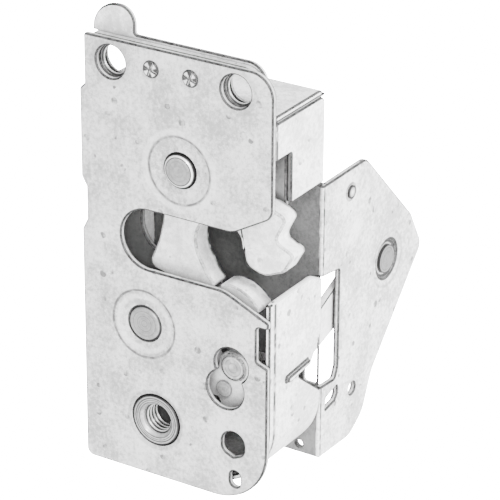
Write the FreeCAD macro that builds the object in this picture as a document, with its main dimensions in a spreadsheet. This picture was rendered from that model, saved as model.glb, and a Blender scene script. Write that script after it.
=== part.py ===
import FreeCAD, Part
import Sketcher
import math
import os

# Rotary door lock for a vehicle door, millimetres.
# X runs across the face plate towards the mouth of the striker slot, Y runs into the door,
# Z is up. The origin is the axis of the lower mounting hole, on the front of the face plate.

V = FreeCAD.Vector
DOC = FreeCAD.newDocument("door_lock")

# Driving dimensions
SIZES = [
    # face plate outline
    ("sheet_face", 1.6), ("face_left", -20.6), ("face_right", 32.7), ("flange_tall", 11.5),
    ("face_bottom", -15.4), ("face_relief", 1.4), ("relief_top_drop", 12.6), ("relief_mid_low", 48.0),
    ("relief_mid_high", 58.8), ("face_right_inset", 1.0), ("corner_top", 6.0), ("corner_bottom", 15.0),
    ("corner_small", 2.0),
    # striker slot
    ("slot_bottom", 40.0), ("slot_height", 15.5), ("slot_left", -9.35), ("lip_start", 19.5),
    ("lip_drop", 5.4), ("lip_height", 1.7), ("flare_start", 22.0), ("flare_rise", 6.1),
    ("notch_depth", 3.1), ("notch_bottom", 23.7),
    # sight holes in the face plate
    ("sight_upper_x", 21.7), ("sight_upper_z", 20.9), ("sight_upper_r", 4.6), ("sight_lower_x", 20.0),
    ("sight_lower_z", 14.2), ("sight_lower_r", 5.1), ("drain_x", 22.3), ("drain_z", 0.1),
    ("drain_r", 3.1), ("drain_vee", 1.0), ("oblong_x", 22.9), ("oblong_z", -9.4), ("oblong_width", 2.8),
    ("oblong_tall", 4.3),
    # mounting holes
    ("top_hole_drop", 5.8), ("top_hole_mid_x", 5.5), ("top_hole_pitch", 34.4), ("top_hole_r", 4.05),
    ("thread_r", 3.4), ("bush_r", 6.6), ("bush_rim_r", 7.9), ("bush_length", 6.5), ("rivet_drop", 5.2),
    ("rivet_pitch", 10.8), ("rivet_mid_x", 5.1), ("rivet_head_r", 2.25), ("rivet_shank_r", 1.6),
    ("rivet_head_tall", 0.5),
    # layers behind the face plate
    ("nut_thick", 2.4), ("nut_drop", 0.2), ("sheet_case", 1.4), ("ear_left", -19.3),
    ("ear_right", -7.5), ("ear_left_r", 7.0), ("ear_right_r", 4.4), ("ear_rise", 7.1),
    ("flange_rise", 0.5), ("layer_left", 1.2), ("layer_right", 4.2),
    # case shell
    ("case_left", -18.2), ("case_right", 31.4), ("case_top", 85.1), ("case_bottom", -12.4),
    ("case_depth", 25.4), ("roll_r", 17.0), ("case_corner", 4.0), ("flap_inset", 0.3),
    ("flap_round", 2.2), ("flap_lip", 2.0), ("seam_gap", 0.3), ("seam_deep", 0.5), ("wall_round", 2.0),
    ("cover_drop", 1.7), ("cover_inset", 1.4), ("opening_low", 38.5), ("opening_high", 61.5),
    ("window_top", 74.2), ("window_back", 10.6), ("wedge_length", 10.7), ("wedge_top", 23.7),
    ("wedge_low", 6.3), ("wedge_tip", 14.6), ("hook_front", 9.0), ("hook_length", 10.3),
    ("hook_z", 16.4), ("hook_tall", 1.6), ("hook_out", 1.0),
    # side bracket
    ("sheet_bracket", 1.6), ("wing_top", 60.1), ("wing_reach", 47.3), ("wing_bottom", -13.1),
    ("bend_r", 0.6), ("bend_inner_r", 0.4), ("wing_slot_reach", 6.7), ("wing_slot_low", 6.6),
    ("wing_slot_high", 35.3),
    ("pass_low", 7.0), ("pass_high", 32.0), ("pass_width", 3.4), ("port_low", -0.8), ("port_high", 3.8),
    ("port_start", 0.8), ("pip_reach", 14.0), ("pip_z", -0.4), ("pip_r", 1.6), ("pin_hole_x", 25.6),
    ("pin_hole_z", -10.6), ("pin_hole_r", 0.9),
    # pivots
    ("fork_x", 7.3), ("fork_z", 67.7), ("detent_x", -3.1), ("detent_z", 25.3), ("dish_depth", 0.45),
    ("fork_dish_r", 8.5), ("detent_dish_r", 8.8), ("fork_head_r", 4.2), ("detent_head_r", 4.5),
    ("fork_head_proud", 0.45), ("detent_head_sunk", 0.2), ("head_chamfer", 0.5), ("journal_r", 5.0),
    ("shoulder_r", 7.5), ("tail_r", 3.6), ("tail_head_r", 5.2), ("tail_head_tall", 1.4),
    ("bush_wall", 1.4), ("run_fit", 0.05), ("side_play", 0.3),
    # moving plates in the case
    ("blade_front", 4.0), ("blade_thick", 6.0), ("sheet_bearing", 1.6), ("mouth_x", 15.9),
    ("mouth_z", 49.3), ("mouth_r", 6.6), ("toe_tall", 0.9), ("throat_rise", 3.0), ("fork_hub_r", 12.5),
    ("fork_foot_r", 30.5), ("detent_hub_r", 9.0), ("foot_gap", 0.7), ("latch_gap", 1.8),
    ("latch_bite", 1.2), ("toe_x", 14.3), ("peg_x", 17.4), ("peg_z", 12.0), ("peg_r", 1.6),
    ("peg_end", 20.5), ("tail_low", 7.0), ("tail_seat", 9.2), ("tail_end", 24.4), ("seat_room", 0.6),
    ("boss_x", 19.9), ("boss_z", 18.3), ("boss_r", 3.2), ("boss_rise", 0.4), ("boss_rim", 0.6),
    # levers on the wing
    ("lever_thick", 2.0), ("lock_lever_thick", 1.2), ("washer_thick", 0.4), ("release_reach", 30.4),
    ("release_z", 28.7), ("wing_swell_r", 7.2), ("wing_dish_r", 5.4), ("wing_head_r", 3.7),
    ("wing_head_sunk", 0.45), ("wing_head_tall", 0.8), ("wing_shank_r", 3.0), ("wing_journal_r", 4.0),
    ("release_hub_r", 8.0), ("arm_half", 4.0), ("finger_y", 16.0), ("finger_tip_x", 11.0),
    ("finger_thick", 2.4), ("touch_gap", 0.4), ("rod_reach", 23.5), ("rod_z", 46.0),
    ("rod_hole_r", 2.2), ("lock_reach", 11.3), ("lock_z", 54.1), ("lock_head_r", 1.7),
    ("lock_shank_r", 1.25), ("lock_journal_r", 1.6), ("lock_hub_r", 3.0), ("lock_toe_back", 3.7),
    ("lock_toe_z", 37.2), ("lock_rod_z", 48.5), ("lock_hole_r", 1.54), ("clip_gap", 0.4),
    ("clip_r", 3.6), ("clip_tall", 2.0),
    # springs
    ("fork_spring_x", -9.0), ("fork_spring_r", 2.5), ("fork_spring_wire", 0.45), ("horn_reach", 20.5),
    ("horn_half", 2.6), ("detent_spring_x", 11.6), ("detent_spring_r", 2.8),
    ("detent_spring_wire", 0.5), ("coils", 5.0),
]

SHEET = DOC.addObject("Spreadsheet::Sheet", "Dimensions")
for row, (alias, number) in enumerate(SIZES, start=1):
    SHEET.set("A%d" % row, alias)
    SHEET.set("B%d" % row, str(number))
    SHEET.setAlias("B%d" % row, alias)
DOC.recompute()


def size(alias):
    return float(getattr(SHEET, alias))


def bind(thing, prop, text):
    """Ties a property to the sheet; plain words in the text are aliases."""
    words = []
    for word in text.split(" "):
        words.append("Dimensions." + word if word[0].isalpha() else word)
    thing.setExpression(prop, " ".join(words))


def new_body(label):
    body = DOC.addObject("PartDesign::Body", label)
    body.Label = label
    return body


def plane_of(body, role):
    for feature in body.Origin.OriginFeatures:
        if feature.Role == role:
            return feature
    raise ValueError(role)


def sketch_front(body, name, depth_text=None, axis=None):
    """Sketch seen from the front: u is X, v is Z. depth_text puts it at a depth Y."""
    sketch = body.newObject("Sketcher::SketchObject", name)
    sketch.AttachmentSupport = [(plane_of(body, "XZ_Plane"), "")]
    sketch.MapMode = "FlatFace"
    if depth_text:
        bind(sketch, "AttachmentOffset.Base.z", "0 - ( " + depth_text + " )")
    if axis:
        bind(sketch, "AttachmentOffset.Base.y", axis)
    return sketch


def sketch_side(body, name, x_text=None, axis=None):
    """Sketch seen from the right: u is Y, v is Z. x_text puts it at a place X."""
    sketch = body.newObject("Sketcher::SketchObject", name)
    sketch.AttachmentSupport = [(plane_of(body, "YZ_Plane"), "")]
    sketch.MapMode = "FlatFace"
    if x_text:
        bind(sketch, "AttachmentOffset.Base.z", x_text)
    if axis:
        bind(sketch, "AttachmentOffset.Base.y", axis)
    return sketch


def outline(sketch, corners):
    """Closed outline of straight runs with rounded corners, each corner (u, v) or (u, v, radius)."""
    count = len(corners)
    stops = []
    for index in range(count):
        here = V(corners[index][0], corners[index][1], 0)
        radius = corners[index][2] if len(corners[index]) > 2 else 0.0
        if radius <= 0:
            stops.append((here, None, here))
            continue
        before = V(corners[index - 1][0], corners[index - 1][1], 0) - here
        after = V(corners[(index + 1) % count][0], corners[(index + 1) % count][1], 0) - here
        before.normalize()
        after.normalize()
        half = before.getAngle(after) / 2
        along = radius / math.tan(half)
        middle = before + after
        middle.normalize()
        centre = here + middle * (radius / math.sin(half))
        stops.append((here + before * along, centre - middle * radius, here + after * along))
    edges = []
    for index in range(count):
        start, crown, end = stops[index]
        if crown is not None:
            edges.append(Part.Arc(start, crown, end))
        following = stops[(index + 1) % count][0]
        if (following - end).Length > 1e-6:
            edges.append(Part.LineSegment(end, following))
    sketch.addGeometry(edges, False)


def circle(sketch, u_text, v_text, radius_text, u, v, radius):
    """Circle whose centre and radius are tied to the sheet."""
    index = sketch.addGeometry(Part.Circle(V(u, v, 0), V(0, 0, 1), radius), False)
    for kind, text, value in (("DistanceX", u_text, u), ("DistanceY", v_text, v)):
        number = sketch.addConstraint(Sketcher.Constraint(kind, -1, 1, index, 3, value))
        bind(sketch, "Constraints[%d]" % number, text)
    number = sketch.addConstraint(Sketcher.Constraint("Radius", index, radius))
    bind(sketch, "Constraints[%d]" % number, radius_text)


def pad(body, sketch, length_text, into=True):
    """Pad into the door (or towards +X for a side sketch)."""
    feature = body.newObject("PartDesign::Pad", sketch.Name + "_pad")
    feature.Profile = sketch
    feature.Reversed = into
    bind(feature, "Length", length_text)
    DOC.recompute()
    return feature


def pocket(body, sketch, length_text):
    """Pocket into the door (or towards -X for a side sketch), checked to have removed material."""
    DOC.recompute()
    before = body.Shape.Volume
    feature = body.newObject("PartDesign::Pocket", sketch.Name + "_cut")
    feature.Profile = sketch
    bind(feature, "Length", length_text)
    DOC.recompute()
    if not body.Shape.Volume < before:
        raise ValueError(feature.Name + " removes nothing")
    return feature


def revolve(body, sketch, kind="PartDesign::Revolution"):
    feature = body.newObject(kind, sketch.Name + "_turn")
    feature.Profile = sketch
    feature.ReferenceAxis = (sketch, ["H_Axis"])
    feature.Angle = 360.0
    DOC.recompute()
    return feature


def turned(label, steps, across=False, u_text="", v_text=""):
    """A pin turned about an axis along Y (or X with across), from steps (start, end, radius).

    A step that ends where it starts is the edge of a cone."""
    body = new_body(label)
    maker = sketch_front if across else sketch_side
    sketch = maker(body, label + "_section", u_text, v_text)
    corners = [(steps[0][0], 0.0)]
    for start, end, radius in steps:
        corners.append((start, radius))
        if end > start:
            corners.append((end, radius))
    corners.append((steps[-1][1], 0.0))
    outline(sketch, corners)
    revolve(body, sketch)
    return body


def dish(body, name, x_text, z_text, rim, floor, depth, x_face=None):
    """Shallow pressed dish round a rivet head."""
    if x_face is None:
        sketch = sketch_side(body, name, x_text, z_text)
        corners = [(-1.0, 0.0), (-1.0, rim), (0.0, rim), (depth, floor), (depth, 0.0)]
    else:
        sketch = sketch_front(body, name, x_text, z_text)
        corners = [(x_face + 1.0, 0.0), (x_face + 1.0, rim), (x_face, rim), (x_face - depth, floor),
                   (x_face - depth, 0.0)]
    outline(sketch, corners)
    return revolve(body, sketch, "PartDesign::Groove")


# Sizes used in several pieces
S = {}
for alias, number in SIZES:
    S[alias] = size(alias)
SLOT_TOP = S["slot_bottom"] + S["slot_height"]
TOP_HOLES = (S["top_hole_mid_x"] - S["top_hole_pitch"] / 2, S["top_hole_mid_x"] + S["top_hole_pitch"] / 2)
RIVETS = (S["rivet_mid_x"] - S["rivet_pitch"] / 2, S["rivet_mid_x"] + S["rivet_pitch"] / 2)
LAYER_FRONT = S["sheet_face"] + S["nut_thick"]
BLADE_BACK = S["blade_front"] + S["blade_thick"]
BEARING_FRONT = BLADE_BACK + S["side_play"]
BEARING_BACK = BEARING_FRONT + S["sheet_bearing"]
WING_INNER = S["case_right"] - S["sheet_bracket"]
LEVER_RIGHT = WING_INNER - S["washer_thick"]
LEVER_LEFT = LEVER_RIGHT - S["lever_thick"]
CASE_INNER_LEFT = S["case_left"] + S["sheet_case"]
CASE_INNER_RIGHT = S["case_right"] - S["sheet_case"]
CASE_INNER_TOP = S["case_top"] - S["sheet_case"]
CASE_INNER_BOTTOM = S["case_bottom"] + S["sheet_case"]

# The flange, its holes and its ear are counted from the top of the case
FACE_TOP = S["case_top"] + S["flange_tall"]
TOP_HOLE_Z = FACE_TOP - S["top_hole_drop"]
TOP_HOLE_Z_TEXT = "case_top + flange_tall - top_hole_drop"
RIVET_Z = FACE_TOP - S["rivet_drop"]
RIVET_Z_TEXT = "case_top + flange_tall - rivet_drop"
RELIEF_TOP = FACE_TOP - S["relief_top_drop"]
EAR_TOP = FACE_TOP + S["ear_rise"]

# Places on the wing are counted from the back of the cover
COVER_BACK = S["case_depth"] + S["sheet_bracket"]
COVER_BACK_TEXT = "case_depth + sheet_bracket"
RELEASE_Y = COVER_BACK + S["release_reach"]
RELEASE_Y_TEXT = COVER_BACK_TEXT + " + release_reach"
ROD_Y = COVER_BACK + S["rod_reach"]
ROD_Y_TEXT = COVER_BACK_TEXT + " + rod_reach"
LOCK_Y = COVER_BACK + S["lock_reach"]
LOCK_Y_TEXT = COVER_BACK_TEXT + " + lock_reach"
LOCK_ROD_Y = COVER_BACK + S["clip_gap"] + S["clip_r"]
LOCK_ROD_Y_TEXT = COVER_BACK_TEXT + " + clip_gap + clip_r"
LOCK_LEFT = LEVER_RIGHT - S["lock_lever_thick"]
TOE_LOW = S["fork_z"] - math.sqrt(S["fork_foot_r"] ** 2 - (S["toe_x"] - S["fork_x"]) ** 2)
TAIL_DROP_X = S["detent_spring_x"] + S["detent_spring_r"] + S["detent_spring_wire"] + S["seat_room"]


def flange_holes(sketch, bore):
    """Screw and rivet holes that line up through the face plate, the nut plate and the flange."""
    for side, screw_x, rivet_x in (("-", TOP_HOLES[0], RIVETS[0]), ("+", TOP_HOLES[1], RIVETS[1])):
        circle(sketch, "top_hole_mid_x " + side + " top_hole_pitch / 2", TOP_HOLE_Z_TEXT, bore,
               screw_x, TOP_HOLE_Z, S[bore])
        circle(sketch, "rivet_mid_x " + side + " rivet_pitch / 2", RIVET_Z_TEXT, "rivet_shank_r",
               rivet_x, RIVET_Z, S["rivet_shank_r"])


def make_face_plate():
    body = new_body("face_plate")
    sketch = sketch_front(body, "face_outline")
    left = S["face_left"]
    shy = left + S["face_relief"]
    low_right = S["face_right"] - S["face_right_inset"]
    lip_end = S["slot_bottom"] - S["lip_drop"]
    outline(sketch, [
        (left, S["face_bottom"], S["corner_small"]),
        (low_right, S["face_bottom"], S["corner_bottom"]),
        (low_right, S["notch_bottom"] - 1.1, 0.5),
        (low_right - S["notch_depth"], S["notch_bottom"], 0.8),
        (low_right - S["notch_depth"], lip_end - S["lip_height"], 1.0),
        (low_right + 0.2, lip_end - S["lip_height"], S["lip_height"] * 0.45),
        (low_right + 0.2, lip_end, S["lip_height"] * 0.45),
        (S["lip_start"], S["slot_bottom"], 8.0),
        (S["slot_left"], S["slot_bottom"], S["slot_height"] * 0.499),
        (S["slot_left"], SLOT_TOP, S["slot_height"] * 0.499),
        (S["flare_start"], SLOT_TOP, 6.0),
        (S["face_right"], SLOT_TOP + S["flare_rise"], 3.5),
        (S["face_right"], FACE_TOP, S["corner_top"]),
        (shy, FACE_TOP, 0.6),
        (shy, RELIEF_TOP, 0.6),
        (left, RELIEF_TOP - S["face_relief"], 0.6),
        (left, S["relief_mid_high"] + 1.2, 1.0),
        (shy, S["relief_mid_high"] - 1.2, 1.0),
        (shy, S["relief_mid_low"] + 1.2, 1.0),
        (left, S["relief_mid_low"] - 1.6, 1.0),
    ])
    pad(body, sketch, "sheet_face")
    holes = sketch_front(body, "face_round_holes")
    flange_holes(holes, "top_hole_r")
    circle(holes, "fork_x", "fork_z", "fork_head_r", S["fork_x"], S["fork_z"], S["fork_head_r"])
    circle(holes, "detent_x", "detent_z", "detent_head_r", S["detent_x"], S["detent_z"], S["detent_head_r"])
    circle(holes, "sight_upper_x", "sight_upper_z", "sight_upper_r",
           S["sight_upper_x"], S["sight_upper_z"], S["sight_upper_r"])
    pocket(body, holes, "sheet_face")
    more = sketch_front(body, "face_more_holes")
    circle(more, "sight_lower_x", "sight_lower_z", "sight_lower_r",
           S["sight_lower_x"], S["sight_lower_z"], S["sight_lower_r"])
    circle(more, "0", "0", "bush_r", 0.0, 0.0, S["bush_r"])
    half = S["oblong_width"] / 2
    tall = S["oblong_tall"] / 2
    outline(more, [
        (S["oblong_x"] - half, S["oblong_z"] - tall, half * 0.98),
        (S["oblong_x"] + half, S["oblong_z"] - tall, half * 0.98),
        (S["oblong_x"] + half, S["oblong_z"] + tall, half * 0.98),
        (S["oblong_x"] - half, S["oblong_z"] + tall, half * 0.98),
    ])
    drain = S["drain_r"]
    outline(more, [
        (S["drain_x"] - drain, S["drain_z"] + drain, drain * 0.98),
        (S["drain_x"] - drain, S["drain_z"] - drain * 0.75, drain * 0.75),
        (S["drain_x"], S["drain_z"] - drain - S["drain_vee"] * 0.6, 1.0),
        (S["drain_x"] + drain, S["drain_z"] - drain * 0.75, drain * 0.75),
        (S["drain_x"] + drain, S["drain_z"] + drain, drain * 0.98),
    ])
    pocket(body, more, "sheet_face")
    dish(body, "fork_dish", "fork_x", "fork_z", S["fork_dish_r"], S["fork_dish_r"] - 1.6, S["dish_depth"])
    dish(body, "detent_dish", "detent_x", "detent_z", S["detent_dish_r"], S["detent_dish_r"] - 1.6,
         S["dish_depth"])
    dish(body, "bush_dish", None, None, S["bush_rim_r"], S["bush_r"], S["dish_depth"])
    return body


def make_nut_plate():
    body = new_body("nut_plate")
    sketch = sketch_front(body, "nut_outline", "sheet_face")
    left = S["face_left"] + S["face_relief"] + S["layer_left"]
    right = S["face_right"] - S["layer_right"]
    low = S["case_top"] + 0.5
    outline(sketch, [(left, low, 1.0), (right, low, 1.0), (right, FACE_TOP - S["nut_drop"], 5.0),
                     (left, FACE_TOP - S["nut_drop"], 0.8)])
    pad(body, sketch, "nut_thick")
    holes = sketch_front(body, "nut_holes", "sheet_face")
    flange_holes(holes, "thread_r")
    pocket(body, holes, "nut_thick")
    return body


def make_case():
    """Folded and rolled shell, with its upturned flange and ear behind the nut plate."""
    body = new_body("case")
    ring = sketch_front(body, "case_ring", "sheet_face")
    wall = S["sheet_case"]
    outline(ring, [
        (S["case_left"], S["case_bottom"], S["case_corner"]),
        (S["case_right"], S["case_bottom"], S["roll_r"]),
        (S["case_right"], S["case_top"]),
        (S["case_left"], S["case_top"], S["case_corner"]),
    ])
    outline(ring, [
        (CASE_INNER_LEFT, CASE_INNER_BOTTOM, S["case_corner"] - wall),
        (CASE_INNER_RIGHT, CASE_INNER_BOTTOM, S["roll_r"] - wall),
        (CASE_INNER_RIGHT, CASE_INNER_TOP),
        (CASE_INNER_LEFT, CASE_INNER_TOP, S["case_corner"] - wall),
    ])
    pad(body, ring, "case_depth - sheet_face")
    flange = sketch_front(body, "case_flange", "sheet_face + nut_thick")
    left = S["face_left"] + S["face_relief"] + S["layer_left"]
    right = S["face_right"] - S["layer_right"]
    top = FACE_TOP + S["flange_rise"]
    outline(flange, [
        (left, CASE_INNER_TOP, 1.0),
        (right, CASE_INNER_TOP, 1.0),
        (right, top, 5.0),
        (S["ear_right"], top, 0.6),
        (S["ear_right"], EAR_TOP, S["ear_right_r"]),
        (S["ear_left"], EAR_TOP, S["ear_left_r"]),
        (S["ear_left"], top - 1.0, 0.3),
        (left, top - 1.0, 0.3),
    ])
    pad(body, flange, "sheet_case")
    hook = sketch_side(body, "case_hook", "case_right")
    hook_low = S["hook_z"] - S["hook_tall"] / 2
    outline(hook, [
        (S["hook_front"], hook_low - 0.5, 0.7),
        (S["hook_front"] + S["hook_length"], hook_low + 0.5, 0.3),
        (S["hook_front"] + S["hook_length"], hook_low + S["hook_tall"] + 0.2, 0.3),
        (S["hook_front"], hook_low + S["hook_tall"] - 0.5, 0.7),
    ])
    pad(body, hook, "hook_out", into=False)
    holes = sketch_front(body, "case_flange_holes", "sheet_face + nut_thick")
    flange_holes(holes, "top_hole_r")
    pocket(body, holes, "sheet_case")
    side = sketch_side(body, "case_openings", "case_right")
    past = S["case_depth"] + 1.0
    outline(side, [
        (0.0, S["opening_low"]),
        (S["case_depth"] - 4.5, S["opening_low"], 4.0),
        (past, S["opening_low"] - 2.8),
        (past, S["opening_high"]),
        (S["window_back"], S["opening_high"], 0.4),
        (S["window_back"], S["window_top"], 0.8),
        (0.0, S["window_top"]),
    ])
    tip = S["case_depth"] - S["wedge_length"]
    outline(side, [
        (tip, S["wedge_tip"], 0.4),
        (S["case_depth"] - 4.4, S["wedge_tip"] + 1.0, 1.0),
        (S["case_depth"] - 1.2, S["wedge_top"] - 3.9, 2.0),
        (past, S["wedge_top"] + 0.8),
        (past, S["wedge_low"] - 0.8),
        (S["case_depth"] - 5.4, (S["wedge_low"] + S["wedge_tip"]) / 2, 3.0),
    ])
    pocket(body, side, "sheet_case + 0.4")
    close_top(body)
    return body


def close_top(body):
    """Top flap laid over the right wall: its open seam, its rounded back end and its lip."""
    seat = CASE_INNER_TOP - S["seam_gap"]
    deep = S["case_depth"]
    over = S["case_top"] + 1.0
    seam = sketch_front(body, "case_seam", "sheet_face")
    outline(seam, [
        (S["case_right"] - S["flap_inset"], over),
        (S["case_right"] - S["flap_inset"], CASE_INNER_TOP),
        (S["case_right"] - S["seam_deep"], CASE_INNER_TOP),
        (S["case_right"] - S["seam_deep"], seat),
        (S["case_right"] + 1.0, seat),
        (S["case_right"] + 1.0, over),
    ])
    pocket(body, seam, "case_depth - sheet_face")
    wall = sketch_side(body, "case_wall_corner", "case_right")
    outline(wall, [
        (deep - S["wall_round"] * 1.2, seat),
        (deep, seat, S["wall_round"]),
        (deep, seat - S["wall_round"] * 1.2),
        (deep + 0.5, seat - S["wall_round"] * 1.2),
        (deep + 0.5, seat),
    ])
    pocket(body, wall, "sheet_case")
    lip = sketch_front(body, "case_lip", "case_depth - sheet_case")
    outline(lip, [
        (CASE_INNER_LEFT + S["case_corner"], CASE_INNER_TOP + 0.2),
        (CASE_INNER_RIGHT - 0.5, CASE_INNER_TOP + 0.2),
        (CASE_INNER_RIGHT - 0.5, CASE_INNER_TOP - S["flap_lip"], 0.8),
        (CASE_INNER_LEFT + S["case_corner"], CASE_INNER_TOP - S["flap_lip"], 0.8),
    ])
    pad(body, lip, "sheet_case")
    end = sketch_side(body, "case_flap_end", "case_right")
    outline(end, [
        (deep - S["flap_round"] * 1.2, S["case_top"]),
        (deep, S["case_top"], S["flap_round"]),
        (deep, S["case_top"] - S["flap_round"] * 1.2),
        (deep + 0.5, S["case_top"] - S["flap_round"] * 1.2),
        (deep + 0.5, over),
        (deep - S["flap_round"] * 1.2, over),
    ])
    pocket(body, end, "case_right - case_left")


def make_side_bracket():
    """Back cover folded into the long side wing that carries the levers."""
    body = new_body("side_bracket")
    fold = body.newObject("Sketcher::SketchObject", "bracket_fold")
    fold.AttachmentSupport = [(plane_of(body, "XY_Plane"), "")]
    fold.MapMode = "FlatFace"
    bind(fold, "AttachmentOffset.Base.z", "wing_bottom - 0.6")
    back = COVER_BACK
    tip = back + S["wing_reach"]
    outline(fold, [
        (S["case_left"], S["case_depth"]),
        (S["case_right"], S["case_depth"], S["bend_r"]),
        (S["case_right"], tip + 2.0),
        (WING_INNER, tip + 2.0),
        (WING_INNER, back, S["bend_inner_r"]),
        (S["case_left"], back),
    ])
    pad(body, fold, "case_top - wing_bottom + 0.6", into=False)
    wing = sketch_side(body, "bracket_wing", "case_right")
    outline(wing, [
        (back, S["wing_bottom"] - 2.0),
        (back, S["wing_bottom"]),
        (back + 13.5, S["wing_bottom"] - 0.5, 6.5),
        (back + 19.8, S["wing_bottom"] + 3.5, 8.0),
        (back + 24.0, S["wing_bottom"] + 13.3, 12.0),
        (tip + 1.0, S["release_z"] - 2.5, 3.0),
        (tip - 5.0, S["release_z"] + 8.0, 4.0),
        (back + 18.9, S["wing_top"], 4.0),
        (back, S["wing_top"]),
        (back, S["case_top"] + 1.0),
        (tip + 4.0, S["case_top"] + 1.0),
        (tip + 4.0, S["wing_bottom"] - 2.0),
    ])
    pocket(body, wing, "sheet_bracket + 0.6")
    cover = sketch_front(body, "bracket_cover", "case_depth")
    shoulder = S["wing_top"]
    cover_top = S["case_top"] - S["sheet_case"] - S["cover_drop"]
    cover_right = S["case_right"] - S["cover_inset"]
    outline(cover, [
        (S["case_left"] - 1.0, S["wing_bottom"] - 2.0),
        (S["case_right"] + 1.0, S["wing_bottom"] - 2.0),
        (S["case_right"] + 1.0, S["case_top"] + 1.0),
        (S["case_left"] - 1.0, S["case_top"] + 1.0),
    ])
    outline(cover, [
        (S["case_left"], S["wing_bottom"], 3.0),
        (S["case_right"] + 0.5, S["wing_bottom"]),
        (S["case_right"] + 0.5, shoulder),
        (cover_right, shoulder),
        (cover_right, cover_top, 2.0),
        (S["case_left"], cover_top, 4.0),
    ])
    pocket(body, cover, "sheet_bracket")
    cuts = sketch_side(body, "wing_cuts", "case_right")
    slot_back = back + S["wing_slot_reach"]
    slot_front = S["case_depth"] - 1.0
    outline(cuts, [
        (slot_front, S["wing_slot_low"]),
        (slot_back - 1.2, S["wing_slot_low"] - 0.6, 1.0),
        (slot_back, S["wing_slot_low"] + 2.4, 1.0),
        (slot_back, S["wing_slot_high"], 0.8),
        (slot_front, S["wing_slot_high"] + 1.2),
    ])
    port_front = back + S["port_start"]
    outline(cuts, [
        (port_front, S["port_low"], 0.4),
        (slot_back - 1.0, S["port_low"] + 0.8, 0.6),
        (slot_back, S["port_low"] + 2.2, 0.6),
        (slot_back, S["port_high"], 0.5),
        (port_front + 0.8, S["port_high"] - 1.4, 0.5),
    ])
    pip_y = back + S["pip_reach"]
    circle(cuts, COVER_BACK_TEXT + " + pip_reach", "pip_z", "pip_r", pip_y, S["pip_z"], S["pip_r"])
    circle(cuts, RELEASE_Y_TEXT, "release_z", "wing_shank_r", RELEASE_Y, S["release_z"],
           S["wing_shank_r"])
    circle(cuts, LOCK_Y_TEXT, "lock_z", "lock_shank_r", LOCK_Y, S["lock_z"], S["lock_shank_r"])
    pocket(body, cuts, "sheet_bracket")
    gate = sketch_front(body, "cover_gate", "case_depth")
    outline(gate, [
        (WING_INNER - S["pass_width"], S["pass_low"], 0.8),
        (WING_INNER + 0.1, S["pass_low"]),
        (WING_INNER + 0.1, S["pass_high"]),
        (WING_INNER - S["pass_width"], S["pass_high"], 0.8),
    ])
    circle(gate, "pin_hole_x", "pin_hole_z", "pin_hole_r", S["pin_hole_x"], S["pin_hole_z"],
           S["pin_hole_r"])
    pocket(body, gate, "sheet_bracket")
    dish(body, "wing_swell", RELEASE_Y_TEXT, "release_z", S["wing_swell_r"], S["wing_swell_r"] - 1.2,
         S["dish_depth"] * 0.5, x_face=S["case_right"])
    dish(body, "wing_dish", RELEASE_Y_TEXT, "release_z", S["wing_dish_r"], S["wing_dish_r"] - 0.8,
         S["wing_head_sunk"] * 2, x_face=S["case_right"])
    return body


def make_bearing_plate():
    """Inner plate behind the fork and the detent, open where the striker passes."""
    body = new_body("bearing_plate")
    sketch = sketch_front(body, "bearing_outline", "blade_front + blade_thick + side_play")
    gap_low = S["slot_bottom"] - 1.0
    gap_high = SLOT_TOP + 1.0
    outline(sketch, [
        (CASE_INNER_LEFT, CASE_INNER_BOTTOM, 3.0),
        (5.0, CASE_INNER_BOTTOM, 2.0),
        (5.0, 16.0, 3.0),
        (12.0, 24.0, 3.0),
        (12.0, gap_low, 2.0),
        (S["slot_left"] - 1.0, gap_low, 8.2),
        (S["slot_left"] - 1.0, gap_high, 8.2),
        (CASE_INNER_RIGHT, gap_high, 1.0),
        (CASE_INNER_RIGHT, CASE_INNER_TOP, 1.0),
        (CASE_INNER_LEFT, CASE_INNER_TOP, 3.0),
    ])
    pad(body, sketch, "sheet_bearing")
    holes = sketch_front(body, "bearing_holes", "blade_front + blade_thick + side_play")
    circle(holes, "fork_x", "fork_z", "tail_r", S["fork_x"], S["fork_z"], S["tail_r"])
    circle(holes, "detent_x", "detent_z", "tail_r", S["detent_x"], S["detent_z"], S["tail_r"])
    pocket(body, holes, "sheet_bearing")
    return body


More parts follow.
